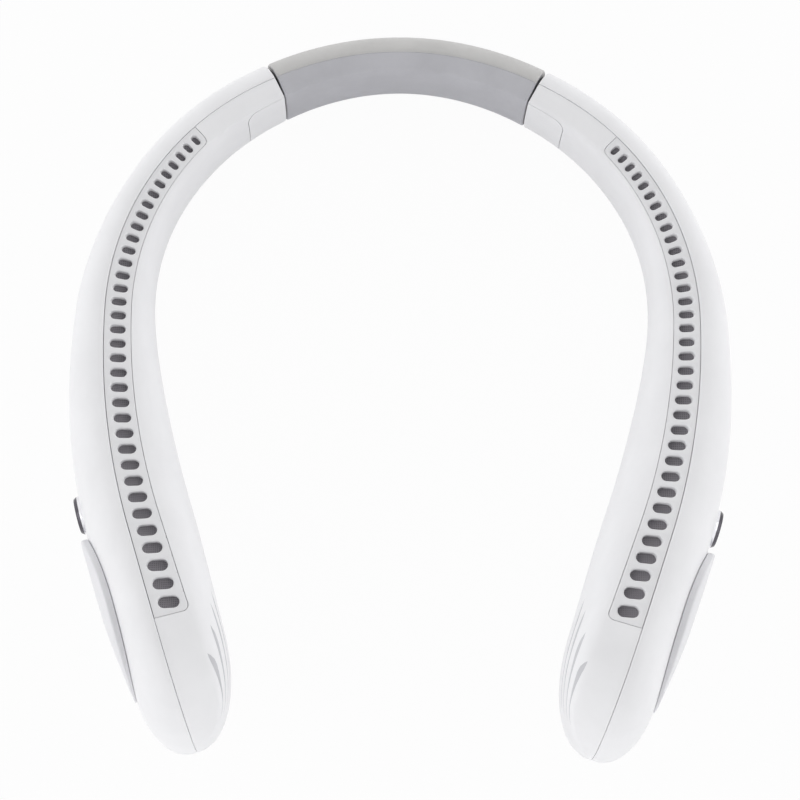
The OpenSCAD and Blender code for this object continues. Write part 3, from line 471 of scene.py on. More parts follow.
@dataclass(frozen=True)
class CasingForm:
    """The casing's path and sections, in millimetres, as the solid model has them.

    A place s is measured along the parting line from the middle of the band, an offset square from
    it, outwards. Shapes are the right arm's.
    """

    overall_l: float = 228.0
    neck_r: float = 89.0
    neck_y: float = 16.6376
    side_r: float = 215.0
    side_turn: float = 18.5
    fan_h: float = 60.0
    fan_w: float = 32.0
    tip_round_out: float = 20.0
    tip_round_in: float = 32.0
    wall: float = 1.6
    part_gap: float = 0.1
    edge: float = 0.35
    edge_w_share: float = 0.15
    edge_h_share: float = 0.04
    lip_min: float = 0.3
    strip_tilt: float = 17.0
    band_tilt: float = 36.0
    strip_start: float = 73.0
    strip_to_tip: float = 36.0
    strip_w_back: float = 6.1
    strip_w_front: float = 10.3
    band_half: float = 42.0
    hinge_gap: float = 0.7
    hinge_in: float = 2.0
    gap_wedge: float = 3.2
    wedge_reach: float = 5.25
    blower_to_tip: float = 40.0
    cover_shift: float = 4.0
    button_back: float = 36.8
    button_z: float = 27.0
    belly_share: float = 0.47
    flat_share: float = 0.36
    top_face_share: float = 0.86
    crown_power: float = 2.1
    keel_power: float = 2.6
    nose_out_power: float = 2.2
    nose_in_power: float = 2.0
    shares: tuple[tuple[float, ...], ...] = (
        (0.00, 0.270, 0.170, 0.450, 0.000), (0.15, 0.268, 0.208, 0.465, 0.000),
        (0.27, 0.270, 0.256, 0.530, 0.030), (0.38, 0.278, 0.312, 0.590, 0.052),
        (0.50, 0.338, 0.408, 0.660, 0.058), (0.63, 0.404, 0.530, 0.770, 0.040),
        (0.74, 0.418, 0.582, 0.885, 0.012), (0.83, 0.411, 0.564, 0.970, 0.000),
        (0.90, 0.392, 0.540, 1.000, 0.000), (1.00, 0.390, 0.520, 1.000, 0.000))

    @property
    def neck_arc(self) -> float:
        """Length of a quarter of the arc round the neck."""
        return self.neck_r * math.pi / 2

    @property
    def side_arc(self) -> float:
        """Length of the side bend."""
        return self.side_r * math.radians(self.side_turn)

    @property
    def path_l(self) -> float:
        """Adds up the parting line.

        Returns:
            Its length from the middle of the band to the tip.
        """
        rear = self.neck_r + self.fan_w * self.shares[0][1]
        straight = self.overall_l - rear - self.side_r * math.sin(math.radians(self.side_turn))
        return self.neck_arc + self.side_arc + straight / math.cos(math.radians(self.side_turn))

    @property
    def fan_r(self) -> float:
        """Radius of the round tip."""
        return self.fan_h / 2

    @property
    def fan_s(self) -> float:
        """Middle of the tip's round on the path."""
        return self.path_l - self.fan_r

    @property
    def blower_s(self) -> float:
        """Place of the blower's axis on the path."""
        return self.path_l - self.blower_to_tip

    @property
    def cover_s(self) -> float:
        """Middle of the intake cover on the path."""
        return self.blower_s - self.cover_shift

    @property
    def button_s(self) -> float:
        """Place of the button on the path."""
        return self.blower_s - self.button_back

    @property
    def arm_start(self) -> float:
        """Place where the arm starts, at the hinge pin."""
        return self.band_half + self.hinge_gap

    @property
    def strip_end(self) -> float:
        """Place where the grille ends."""
        return self.path_l - self.strip_to_tip

    def turn(self, s: float) -> float:
        """Turn of the path.

        Args:
            s: the place.

        Returns:
            The turn in radians, from the middle of the band on.
        """
        if s < self.neck_arc:
            return s / self.neck_r
        if s < self.neck_arc + self.side_arc:
            return math.pi / 2 + (s - self.neck_arc) / self.side_r
        return math.pi / 2 + math.radians(self.side_turn)

    def outward(self, s: float) -> Point2:
        """Direction away from the neck at a place."""
        return (math.sin(self.turn(s)), math.cos(self.turn(s)))

    def outward_axis(self, s: float) -> Vector:
        """The same direction as a level vector."""
        return Vector((*self.outward(s), 0))

    def forward(self, s: float) -> Point2:
        """Direction towards the tip at a place."""
        return (math.cos(self.turn(s)), -math.sin(self.turn(s)))

    def path_point(self, s: float) -> Point2:
        """A point of the parting line, seen from above.

        Args:
            s: the place.

        Returns:
            The point in millimetres, from the middle of the arc round the neck.
        """
        n = self.outward(s)
        if s < self.neck_arc:
            return (self.neck_r * n[0], self.neck_r * n[1])
        end = min(s, self.neck_arc + self.side_arc)
        m = self.outward(end)
        x, y = self.neck_r - self.side_r + self.side_r * m[0], self.side_r * m[1]
        run = self.forward(end)
        return (x + (s - end) * run[0], y + (s - end) * run[1])

    def place(self, s: float, offset: float, z: float) -> Vector:
        """A point of the right arm, in metres, from its place, offset and height."""
        p, n = self.path_point(s), self.outward(s)
        return Vector((p[0] + offset * n[0], p[1] + offset * n[1] + self.neck_y, z)) * MM

    def square(self, s: float, offset: float, back: float, z: float) -> Vector:
        """A point given from a place on the path: outwards, back towards the band, and up."""
        q = self.forward(s)
        return self.place(s, offset, z) - Vector((q[0], q[1], 0)) * back * MM

    def under_strip(self, s: float, offset: float, depth: float) -> Vector:
        """A point so far under the strip's slanting top face, in metres."""
        top = self.station(s).top
        return self.place(s, offset, top + offset * math.tan(math.radians(self.strip_tilt)) - depth)

    def share(self, s: float, column: int) -> float:
        """A smooth curve through one column of the form's table.

        Args:
            s: the place.
            column: the table's column.

        Returns:
            The curve's value there.
        """
        x, rows = s / self.path_l, self.shares
        i = 0
        while i < len(rows) - 2 and x >= rows[i + 1][0]:
            i += 1

        def grade(k: int) -> float:
            """Finds the curve's grade from the rows on both sides.

            Args:
                k: the row where it is wanted.

            Returns:
                The grade.
            """
            if k == 0:
                return 0.0
            b = min(k + 1, len(rows) - 1)
            return (rows[b][column] - rows[k - 1][column]) / (rows[b][0] - rows[k - 1][0])

        p, q = rows[i], rows[i + 1]
        w = q[0] - p[0]
        t = (x - p[0]) / w
        u = 1 - t
        return (p[column] * u * u * (1 + 2 * t) + q[column] * t * t * (1 + 2 * u)
                + w * u * t * (grade(i) * u - grade(i + 1) * t))

    def nose(self, s: float, inset: float, length: float, power: float) -> float:
        """Share of the width left where the tip rounds off over a length, by a power."""
        u = (s - self.path_l + length) / (length - inset)
        return 1.0 if u <= 0 else max(0.0, 1 - u ** power) ** (1 / power)

    def skin_s(self, s: float, inset: float) -> float:
        """The place on a skin moved in by inset that belongs to a place on the outside."""
        return s if s <= self.fan_s else self.fan_s + (s - self.fan_s) * (self.fan_r - inset) / self.fan_r

    def strip_w(self, s: float) -> float:
        """Width of the grille at a place."""
        u = min(1.0, max(0.0, (s - self.strip_start) / (self.strip_end - self.strip_start)))
        return self.strip_w_back + (self.strip_w_front - self.strip_w_back) * u

    def tilt(self, s: float) -> float:
        """Tilt of the top face, in degrees."""
        left = max(0.0, 1 - s / self.strip_start)
        return self.strip_tilt + (self.band_tilt - self.strip_tilt) * left

    def station(self, s0: float, inset: float = 0.0) -> Station:
        """Works out the casing's section.

        Args:
            s0: the place on the outside.
            inset: how far the skin is moved in.

        Returns:
            The section's sizes.
        """
        s = self.skin_s(s0, inset)
        out_w = (self.fan_w * self.share(s, 1) - inset) * self.nose(s, inset, self.tip_round_out,
                                                                    self.nose_out_power)
        in_full = self.fan_w * self.share(s, 2)
        in_w = (in_full - inset) * self.nose(s, inset, self.tip_round_in, self.nose_in_power)
        if s <= self.fan_s:
            top = self.fan_h * min(1.0, self.share(s, 3)) - inset
            low = self.fan_h * max(0.0, self.share(s, 4)) + inset
        else:
            cap = math.sqrt(max(0.0, (self.fan_r - inset) ** 2 - (s - self.fan_s) ** 2))
            top, low = self.fan_r + cap, self.fan_r - cap
        belly = low + (top - low) * self.belly_share
        full = in_full * self.nose(s, 0, self.tip_round_in, self.nose_in_power)
        face = min(self.strip_w(s), full * self.top_face_share, in_w - min(self.lip_min, in_w / 2))
        slope = min(math.tan(math.radians(self.tilt(s))), (top - belly) / 2 / max(in_w, self.part_gap))
        return Station(out_w, in_w, top, low, belly, face, slope)

    def lip(self, st: Station, w: float, edge: float) -> Point2:
        """Half the parting gap and the edge's radius, as far as a half section has room for them."""
        room = min(w * self.edge_w_share, (st.top - st.low) * self.edge_h_share)
        return min(self.part_gap / 2, w * self.flat_share / 2), min(edge, room)

    def flank_point(self, st: Station, u: float) -> Point2:
        """A point of the inner flank's curve.

        Args:
            st: the place's sizes.
            u: share of the way from the top face's edge to the belly.

        Returns:
            Its offset, as a positive number, and its height.
        """
        w, v = st.in_w, 1 - u
        p, q = (st.face, st.top - st.face * st.slope), (w, st.top - w * st.slope)
        return (v * v * p[0] + 2 * u * v * q[0] + u * u * w, v * v * p[1] + 2 * u * v * q[1] + u * u * st.belly)

    def keel_point(self, st: Station, w: float, a: float) -> Point2:
        """A point of the lower quarter's curve.

        Args:
            st: the place's sizes.
            w: the half section's width.
            a: turn down from the belly.

        Returns:
            Its offset, as a positive number, and its height.
        """
        flat, power = w * self.flat_share, 2 / self.keel_power
        return (flat + (w - flat) * math.cos(a) ** power, st.belly - (st.belly - st.low) * math.sin(a) ** power)

    def keel(self, st: Station, w: float, edge: float, steps: int) -> list[Point2]:
        """The lower quarter of a half section, from the belly to the parting line below.

        Args:
            st: the place's sizes.
            w: the half section's width.
            edge: radius of the edge at the parting line.
            steps: points along the quarter.

        Returns:
            Offsets and heights, with the offset positive.
        """
        flat = w * self.flat_share
        gap = min(self.part_gap / 2, flat / 2)
        row = [self.keel_point(st, w, math.pi / 2 * i / steps) for i in range(1, steps + 1)]
        row[-1] = (flat, row[-1][1])
        row.append(((flat + gap + edge) / 2, st.low))
        return row + [(gap + edge * (1 - math.sin(a)), st.low + edge * (1 - math.cos(a))) for a in QUARTER]

    def outer_row(self, st: Station, edge: float, crown: int = 16, keel: int = 14) -> list[Point2]:
        """The outer half section, from the parting line on top to the one below.

        Args:
            st: the place's sizes.
            edge: radius of the edges at the parting line.
            crown, keel: points along the upper and the lower quarter.

        Returns:
            Offsets and heights.
        """
        w = st.out_w
        gap, edge = self.lip(st, w, edge)
        row = [(gap + edge * (1 - math.cos(a)), st.top - edge * (1 - math.sin(a))) for a in QUARTER]
        first = math.asin(min(1.0, ((gap + edge) / w) ** (self.crown_power / 2))) if w > 0 else 0.0
        for i in range(1, crown + 1):
            a = first + (math.pi / 2 - first) * i / crown
            row.append((w * math.sin(a) ** (2 / self.crown_power),
                        st.belly + (st.top - st.belly) * max(0.0, math.cos(a)) ** (2 / self.crown_power)))
        return row + self.keel(st, w, edge, keel)

    def inner_row(self, st: Station, edge: float, flank: int = 12, keel: int = 14) -> list[Point2]:
        """The inner half section, in the same order.

        Args:
            st: the place's sizes.
            edge: radius of the edges at the parting line.
            flank, keel: points along the flank and the lower quarter.

        Returns:
            Offsets, which are negative, and heights.
        """
        w, face = st.in_w, 5
        gap, edge = self.lip(st, w, edge)
        row = []
        for a in QUARTER:
            x = gap + edge * (1 - math.cos(a))
            row.append((x, st.top - x * st.slope - edge * (1 - math.sin(a))))
        for i in range(1, face + 1):
            x = gap + edge + (st.face - gap - edge) * i / face
            row.append((x, st.top - x * st.slope))
        row += [self.flank_point(st, i / flank) for i in range(1, flank + 1)]
        return [(-x, z) for x, z in row + self.keel(st, w, edge, keel)]

    def outer_offset(self, s: float, z: float) -> float:
        """Finds the outer face.

        Args:
            s, z: the place and the height.

        Returns:
            The face's offset there.
        """
        st = self.station(s)
        w, flat = st.out_w, st.out_w * self.flat_share
        if z >= st.belly:
            u = min(1.0, (z - st.belly) / max(1e-6, st.top - st.belly))
            return w * (1 - u ** self.crown_power) ** (1 / self.crown_power)
        u = min(1.0, (st.belly - z) / max(1e-6, st.belly - st.low))
        return flat + (w - flat) * (1 - u ** self.keel_power) ** (1 / self.keel_power)

    def inner_offset(self, s: float, z: float) -> float:
        """Finds the inner face.

        Args:
            s, z: the place and the height.

        Returns:
            The face's depth there, as a positive number.
        """
        row = self.inner_row(self.station(s), self.edge, flank=24, keel=24)
        for a, b in zip(row, row[1:]):
            if b[1] <= z <= a[1] and a[1] > b[1]:
                return -(a[0] + (b[0] - a[0]) * (a[1] - z) / (a[1] - b[1]))
        return -row[0][0]

    def skin(self, s: float, z: float) -> Vector:
        """A point of the outer face, in metres."""
        return self.place(s, self.outer_offset(s, z), z)

    def on_outer(self, s: float, z: float, lift: float) -> Vector:
        """A point square off the outer face.

        Args:
            s, z: the place and the height.
            lift: how far off, in millimetres.

        Returns:
            The point in metres.
        """
        step = 0.4
        along = self.skin(s + step, z) - self.skin(s - step, z)
        up = self.skin(s, z + step) - self.skin(s, z - step)
        normal = along.cross(up).normalized()
        if normal.dot(self.outward_axis(s)) < 0:
            normal.negate()
        return self.skin(s, z) + normal * lift * MM

    def wedge(self, s: float, offset: float) -> float:
        """The place moved on by the hinge gap's wedge, which dies out along the arm's first stretch."""
        share = max(0.0, 1 - (s - self.arm_start) / self.wedge_reach)
        return s + (offset + self.hinge_in) * math.tan(math.radians(self.gap_wedge)) * share


FORM = CasingForm()


# ---------------------------------------------------------------- making meshes


def aimed(place: Vector, axis: Vector) -> Matrix:
    """The transform that stands a shape made along Z at a place, along an axis."""
    return Matrix.Translation(place) @ axis.to_track_quat("Z", "Y").to_matrix().to_4x4()


class Maker:
    """Builds one piece's mesh out of bmesh operators and hands it over as an object."""

    def __init__(self, name: str) -> None:
        """Starts an empty mesh for the named piece."""
        self.name = name
        self.bm = bmesh.new()

    def sheet(self, rows: int, columns: int, at: Callable[[int, int], Vector]) -> None:
        """Lays a grid over a surface.

        Args:
            rows, columns: points each way.
            at: the surface's point at a row and column.
        """
        made = bmesh.ops.create_grid(self.bm, x_segments=columns - 1, y_segments=rows - 1, size=1.0)["verts"]
        for vert in made:
            i = round((vert.co.y + 1) / 2 * (rows - 1))
            j = round((vert.co.x + 1) / 2 * (columns - 1))
            vert.co = at(i, j)

    def ring(self, points: Sequence[Vector]) -> Loop:
        """Makes a closed loop.

        Args:
            points: its points in order.

        Returns:
            Its edges.
        """
        made = bmesh.ops.create_circle(self.bm, cap_ends=False, radius=1.0, segments=len(points))["verts"]
        for vert, point in zip(made, points):
            vert.co = point
        own = set(made)
        return [e for e in {edge for vert in made for edge in vert.link_edges} if set(e.verts) <= own]

    def loft(self, sections: Iterable[Sequence[Vector]]) -> None:
        """Makes a closed body.

        Args:
            sections: the outlines that it runs through, of which the first and the last are filled.
        """
        loops = [self.ring(points) for points in sections]
        for one, other in zip(loops, loops[1:]):
            bmesh.ops.bridge_loops(self.bm, edges=one + other)
        for loop in (loops[0], loops[-1]):
            bmesh.ops.triangle_fill(self.bm, use_beauty=True, use_dissolve=False, edges=loop)

    def rod(self, middle: Vector, axis: Vector, radius: float, length: float, segments: int) -> None:
        """Makes a round rod; all its sizes are in metres."""
        bmesh.ops.create_cone(self.bm, cap_ends=True, segments=segments, radius1=radius, radius2=radius,
                              depth=length, matrix=aimed(middle, axis))

    def weld(self, distance: float = 2e-6) -> None:
        """Merges points that share a place."""
        bmesh.ops.remove_doubles(self.bm, verts=self.bm.verts, dist=distance)

    def rims(self) -> Loop:
        """The edges with one face only."""
        return [edge for edge in self.bm.edges if len(edge.link_faces) == 1]

    def close_rims(self) -> None:
        """Joins the two open rims that are left."""
        bmesh.ops.bridge_loops(self.bm, edges=self.rims())

    def finish(self, material: bpy.types.Material, angle: float = 32.0) -> bpy.types.Object:
        """Closes the work on a mesh.

        Args:
            material: the piece's material.
            angle: edges sharper than this stay sharp, in degrees.

        Returns:
            The piece's object, at the origin.
        """
        bmesh.ops.recalc_face_normals(self.bm, faces=self.bm.faces)
        mesh = bpy.data.meshes.new(self.name)
        self.bm.to_mesh(mesh)
        self.bm.free()
        mesh.materials.append(material)
        mesh.shade_smooth()
        mesh.set_sharp_from_angle(angle=math.radians(angle))
        piece = bpy.data.objects.new(self.name, mesh)
        bpy.context.scene.collection.objects.link(piece)
        return piece


def carve(piece: bpy.types.Object, cutters: Sequence[bpy.types.Object], cut: Cut = Cut.TAKE_AWAY,
          angle: float = 32.0) -> None:
    """Cuts a piece, with the cutters' own finishes on the cut faces, and removes the cutters.

    Args:
        piece: the piece to cut.
        cutters: closed shapes.
        cut: whether they are taken away or only what lies in them is kept.
        angle: edges sharper than this stay sharp, in degrees.
    """
    for cutter in cutters:
        tool = piece.modifiers.new("carve", "BOOLEAN")
        tool.operation, tool.solver, tool.object = cut.value, "EXACT", cutter
        tool.material_mode = "TRANSFER"
        bpy.context.view_layer.update()
        mesh = bpy.data.meshes.new_from_object(piece.evaluated_get(bpy.context.evaluated_depsgraph_get()))
        piece.modifiers.clear()
        old, piece.data = piece.data, mesh
        bpy.data.meshes.remove(old)
        bpy.data.objects.remove(cutter)
    piece.data.shade_smooth()
    piece.data.set_sharp_from_angle(angle=math.radians(angle))


@dataclass
class SubAssembly:
    """Pieces that are made and dressed together."""

    paints: Paintbox
    palette: Palette

    def keep(self, piece: bpy.types.Object, body: str, slot: str, *nodes: str) -> None:
        """Puts a piece in place of its CAD nodes.

        Args:
            piece: the finished piece.
            body: the CAD body that it rides on.
            slot: a material slot's name; not used.
            nodes: the CAD nodes that it stands for.
        """
        if nodes:
            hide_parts(*nodes)
        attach(piece, body)
        LOG.info("%s: %d faces, on %s", piece.name, len(piece.data.polygons), body)


@dataclass
class ArmPart(SubAssembly):
    """Pieces of one arm, made as the right arm's and turned into their side's."""

    side: Side

    def own(self, name: str) -> str:
        """A name with its side before it."""
        return f"{self.side.value}_{name}"

    def keep(self, piece: bpy.types.Object, body: str, slot: str, *nodes: str) -> None:
        """Puts a piece in place of its side's nodes, which are named without the side, as the body is."""
        super().keep(piece, self.own(body), slot, *map(self.own, nodes))

    def closed(self, maker: Maker, finish: Finish, angle: float = 32.0) -> bpy.types.Object:
        """Turns a mesh into its side's and closes the work on it.

        Args:
            maker: the maker with the mesh in it.
            finish: the piece's finish.
            angle: edges sharper than this stay sharp, in degrees.

        Returns:
            The piece's object.
        """
        if self.side is Side.LEFT:
            bmesh.ops.scale(maker.bm, vec=(-1, 1, 1), verts=maker.bm.verts)
        return maker.finish(self.paints.of(finish), angle)


# ---------------------------------------------------------------- shells


@dataclass
class ArmCasing(ArmPart):
    """One arm's two moulded shells, its hinge cover and its louvres."""

    step: float = 1.6
    tip_rings: int = 26
    start_edge: float = 0.5
    bezel_hole_r: float = 6.05
    bezel_cut: Point2 = (14.0, 12.0)
    intake_r: float = 13.1
    intake_cut: Point2 = (12.0, 16.0)
    louvres: tuple[tuple[float, float, float, float], ...] = (
        (0.935, 0.800, -0.24, -0.80), (0.870, 0.700, 0.03, -0.76),
        (0.785, 0.580, 0.26, -0.70), (0.690, 0.480, 0.40, -0.64))
    louvre_h: float = 2.7
    louvre_depth: float = 1.3
    louvre_fall: float = 0.03
    louvre_bend: float = 1.6
    louvre_grown: float = 0.22
    louvre_least: float = 0.06
    window_corner: float = 2.0
    window_out: float = 0.8
    window_depths: Point2 = (-2.0, 4.2)
    pad_l: float = 14.5
    pad_h: float = 26.0
    pad_corner: float = 4.5
    pad_behind: float = 2.0
    pad_reach: float = 5.0
    pad_top_share: float = 0.25
    pad_low_turn: float = 54.0
    seam: float = 0.22
    socket_in: float = 8.55
    socket_half: float = 2.9
    socket_r: float = 1.75
    socket_heights: Point2 = (-2.0, 10.0)
    light_in: float = 7.95
    light_back: float = 7.5
    light_r: float = 1.15
    light_cut: Point2 = (2.0, 16.0)

    def stations(self) -> list[Point2]:
        """Lists the casing's sections along the arm.

        Returns:
            Their places, each with how far the skin is drawn in there.
        """
        form, edge = FORM, self.start_edge
        rounded = [(form.arm_start + edge * (1 - math.sin(a)), edge * (1 - math.cos(a))) for a in QUARTER[:0:-1]]
        length = form.fan_s - form.arm_start - edge
        count = math.ceil(length / self.step)
        run = [form.arm_start + edge + length * i / count for i in range(count)]
        tip = [form.fan_s + form.fan_r * math.sin(math.pi / 2 * i / self.tip_rings)
               for i in range(self.tip_rings + 1)]
        return rounded + [(s, 0.0) for s in run + tip]

    def shell(self, name: str, row: Callable[[Station], list[Point2]], finish: Finish) -> bpy.types.Object:
        """Makes a closed shell: its outside, its inside and the rim that joins them.

        Args:
            name: the piece's name without the side.
            row: the half section's points at a station.
            finish: its finish.

        Returns:
            The shell.
        """
        form, maker = FORM, Maker(self.own(name))
        places = self.stations()
        for wall in (0.0, form.wall):
            rows = [row(form.station(s, wall or inset)) for s, inset in places]
            starts = [form.skin_s(s, wall or inset) for s, inset in places]

            def at(i: int, j: int, rows: list = rows, starts: list = starts) -> Vector:
                """The skin's point at a station and a point of its section."""
                offset, z = rows[i][j]
                return form.place(form.wedge(starts[i], offset), offset, z)

            maker.sheet(len(places), len(rows[0]), at)
        maker.weld()
        maker.close_rims()
        return self.closed(maker, finish)

    def cutter(self, name: str, sections: Iterable[Sequence[Vector]], finish: Finish) -> bpy.types.Object:
        """Makes a closed cutter.

        Args:
            name: its name.
            sections: the outlines that it runs through.
            finish: what it leaves on the faces that it cuts.

        Returns:
            The cutter.
        """
        maker = Maker(name)
        maker.loft(sections)
        return self.closed(maker, finish)

    def tube(self, name: str, middle: Vector, axis: Vector, radius: float, length: float) -> bpy.types.Object:
        """A round cutter for the outer shell.

        Args:
            name: its name.
            middle: its middle, in metres.
            axis: its direction.
            radius, length: its size in millimetres.

        Returns:
            The cutter.
        """
        maker = Maker(name)
        maker.rod(middle, axis, radius * MM, length * MM, 96)
        return self.closed(maker, self.palette.inner)

    def port(self) -> bpy.types.Object:
        """Shapes the hole for the charging socket.

        Returns:
            The oval cutter.
        """
        half, r = self.socket_half, self.socket_r
        turns = [math.radians(-90 + 180 * i / 12) for i in range(13)]
        outline = [(self.socket_in + r * math.sin(a) * way, way * (half + r * math.cos(a)))
                   for way in (1, -1) for a in turns]
        sections = [[FORM.square(FORM.button_s, offset, back, z) for offset, back in outline]
                    for z in self.socket_heights]
        return self.cutter("port_cutter", sections, self.palette.outer)

    def window(self) -> bpy.types.Object:
        """Shapes the grille's opening in the inner shell, with its two rounded inner corners.

        Returns:
            The cutter.
        """
        form, r, count = FORM, self.window_corner, 110
        first, last = form.strip_start, form.strip_end

        def corner(end: float, way: int, turns: Iterable[int]) -> list[Point2]:
            """A rounded inner corner's points at one end of the strip."""
            return [(end + way * r * (1 - math.cos(t)), -form.strip_w(end) + r * (1 - math.sin(t)))
                    for t in map(math.radians, turns)]

        outline = [(first, self.window_out)] + corner(first, 1, range(0, 91, 15))
        for i in range(1, count):
            s = first + r + (last - first - 2 * r) * i / count
            outline.append((s, -form.strip_w(s)))
        outline += corner(last, -1, range(90, -1, -15))
        outline += [(last - (last - first) * i / count, self.window_out) for i in range(count)]
        sections = [[form.under_strip(s, offset, depth) for s, offset in outline] for depth in self.window_depths]
        return self.cutter("window_cutter", sections, self.palette.inner)

    def groove(self, high: float, low: float, start: float, end: float) -> bpy.types.Object:
        """The cutter for one louvre: a slanting floor under a sharp lip, which fades towards the tip.

        Args:
            high, low: the lip's height at its start and its end, as shares of the casing's height there.
            start, end: the louvre's ends behind the tip's middle, as shares of the tip's radius.

        Returns:
            The cutter.
        """
        form, cells, floor, over = FORM, 36, 8, -0.8
        sections = []
        for i in range(cells + 1):
            u = i / cells
            s = form.fan_s - form.fan_r * (start + (end - start) * u)
            st = form.station(s)
            tall = st.top - st.low
            lip = st.low + tall * (high + (low - high) * u ** self.louvre_bend)
            grown = min(1.0, u / self.louvre_grown)
            swell = max(self.louvre_least, grown * (2 - grown) * (1 - u) ** 0.5)
            width, depth = self.louvre_h * tall / form.fan_h * swell, self.louvre_depth * swell
            outline = [(0.0, over), (0.0, depth)]
            for k in range(1, floor + 1):
                share = (k + 0.5) / (floor + 0.5)
                outline.append((-width * share, depth * (1 - share) - self.louvre_fall * k / floor))
            outline.append((-width, over))
            sections.append([form.place(s, deep - form.inner_offset(s, lip + down), lip + down)
                             for down, deep in outline])
        # This cutter's darker finish goes onto the cut floors as painted shade under each lip.
        return self.cutter("louvre_cutter", sections, self.palette.louvre)

    def pad(self, grow: float) -> bpy.types.Object:
        """The cutter for the hinge cover: a rounded patch of the inner face.

        Args:
            grow: how far it is grown all round.

        Returns:
            The cutter.
        """
        r = self.pad_corner
        first, last = FORM.arm_start - self.pad_behind, FORM.arm_start + self.pad_l + grow
        high, low = -grow, self.pad_h + grow
        turns = [math.pi / 2 * i / 10 for i in range(11)]
        outline = [(first + (last - r - first) * i / 10, high) for i in range(10)]
        outline += [(last - r + r * math.sin(a), high + r * (1 - math.cos(a))) for a in turns]
        outline += [(last, high + r + (low - high - r) * i / 20) for i in range(1, 21)]
        outline += [(last + (first - last) * i / 10, low) for i in range(1, 11)]
        outline += [(first, low + (high - low) * i / 20) for i in range(1, 20)]
        spots = [(s, *self.flank(s, down)) for s, down in outline]
        sections = [[FORM.place(s, -offset - reach, z) for s, offset, z in spots]
                    for reach in (self.pad_reach, -self.pad_reach)]
        return self.cutter("pad_cutter", sections, self.palette.inner)

    def flank(self, s: float, down: float) -> Point2:
        """A point of the inner face, measured along its section.

        Args:
            s: the place.
            down: how far down from the pad's upper seam, of the pad's height.

        Returns:
            Its depth and height.
        """
        st, steps, first = FORM.station(max(s, FORM.arm_start)), 30, self.pad_top_share
        row = [FORM.flank_point(st, first + (1 - first) * i / steps) for i in range(steps + 1)]
        row += [FORM.keel_point(st, st.in_w, math.radians(self.pad_low_turn) * i / steps)
                for i in range(1, steps + 1)]
        left = down * sum(math.dist(a, b) for a, b in zip(row, row[1:])) / self.pad_h
        for a, b in zip(row, row[1:]):
            length = math.dist(a, b)
            if left <= length or b is row[-1]:
                break
            left -= length
        return (a[0] + (b[0] - a[0]) * left / length, a[1] + (b[1] - a[1]) * left / length)

    def build(self) -> None:
        """Makes both shells and the hinge cover."""
        form, palette = FORM, self.palette
        shell = self.shell("outer_skin", lambda st: form.outer_row(st, form.edge), palette.outer)
        holes = (("bezel_cutter", form.button_s, form.button_z, self.bezel_hole_r, self.bezel_cut),
                 ("intake_cutter", form.blower_s, form.fan_r, self.intake_r, self.intake_cut))
        cutters = [self.tube(name, form.place(s, offset, z), form.outward_axis(s), radius, length)
                   for name, s, z, radius, (offset, length) in holes]
        if self.side is Side.RIGHT:
            z, length = self.light_cut
            light = form.square(form.button_s, self.light_in, self.light_back, z)
            cutters += [self.port(), self.tube("light_cutter", light, Vector((0, 0, 1)), self.light_r, length)]
        carve(shell, cutters)
        self.keep(shell, "arm", "shell_white", "outer_shell")
        shell = self.shell("inner_skin", lambda st: form.inner_row(st, form.edge), palette.inner)
        patch = shell.copy()
        patch.name, patch.data = self.own("hinge_patch"), shell.data.copy()
        bpy.context.scene.collection.objects.link(patch)
        carve(shell, [self.window(), self.pad(self.seam)] + [self.groove(*shares) for shares in self.louvres])
        self.keep(shell, "arm", "shell_inner", "inner_shell")
        carve(patch, [self.pad(0.0)], Cut.KEEP_ONLY)
        self.keep(patch, "arm", "shell_inner", "hinge_cover")


# ---------------------------------------------------------------- grille


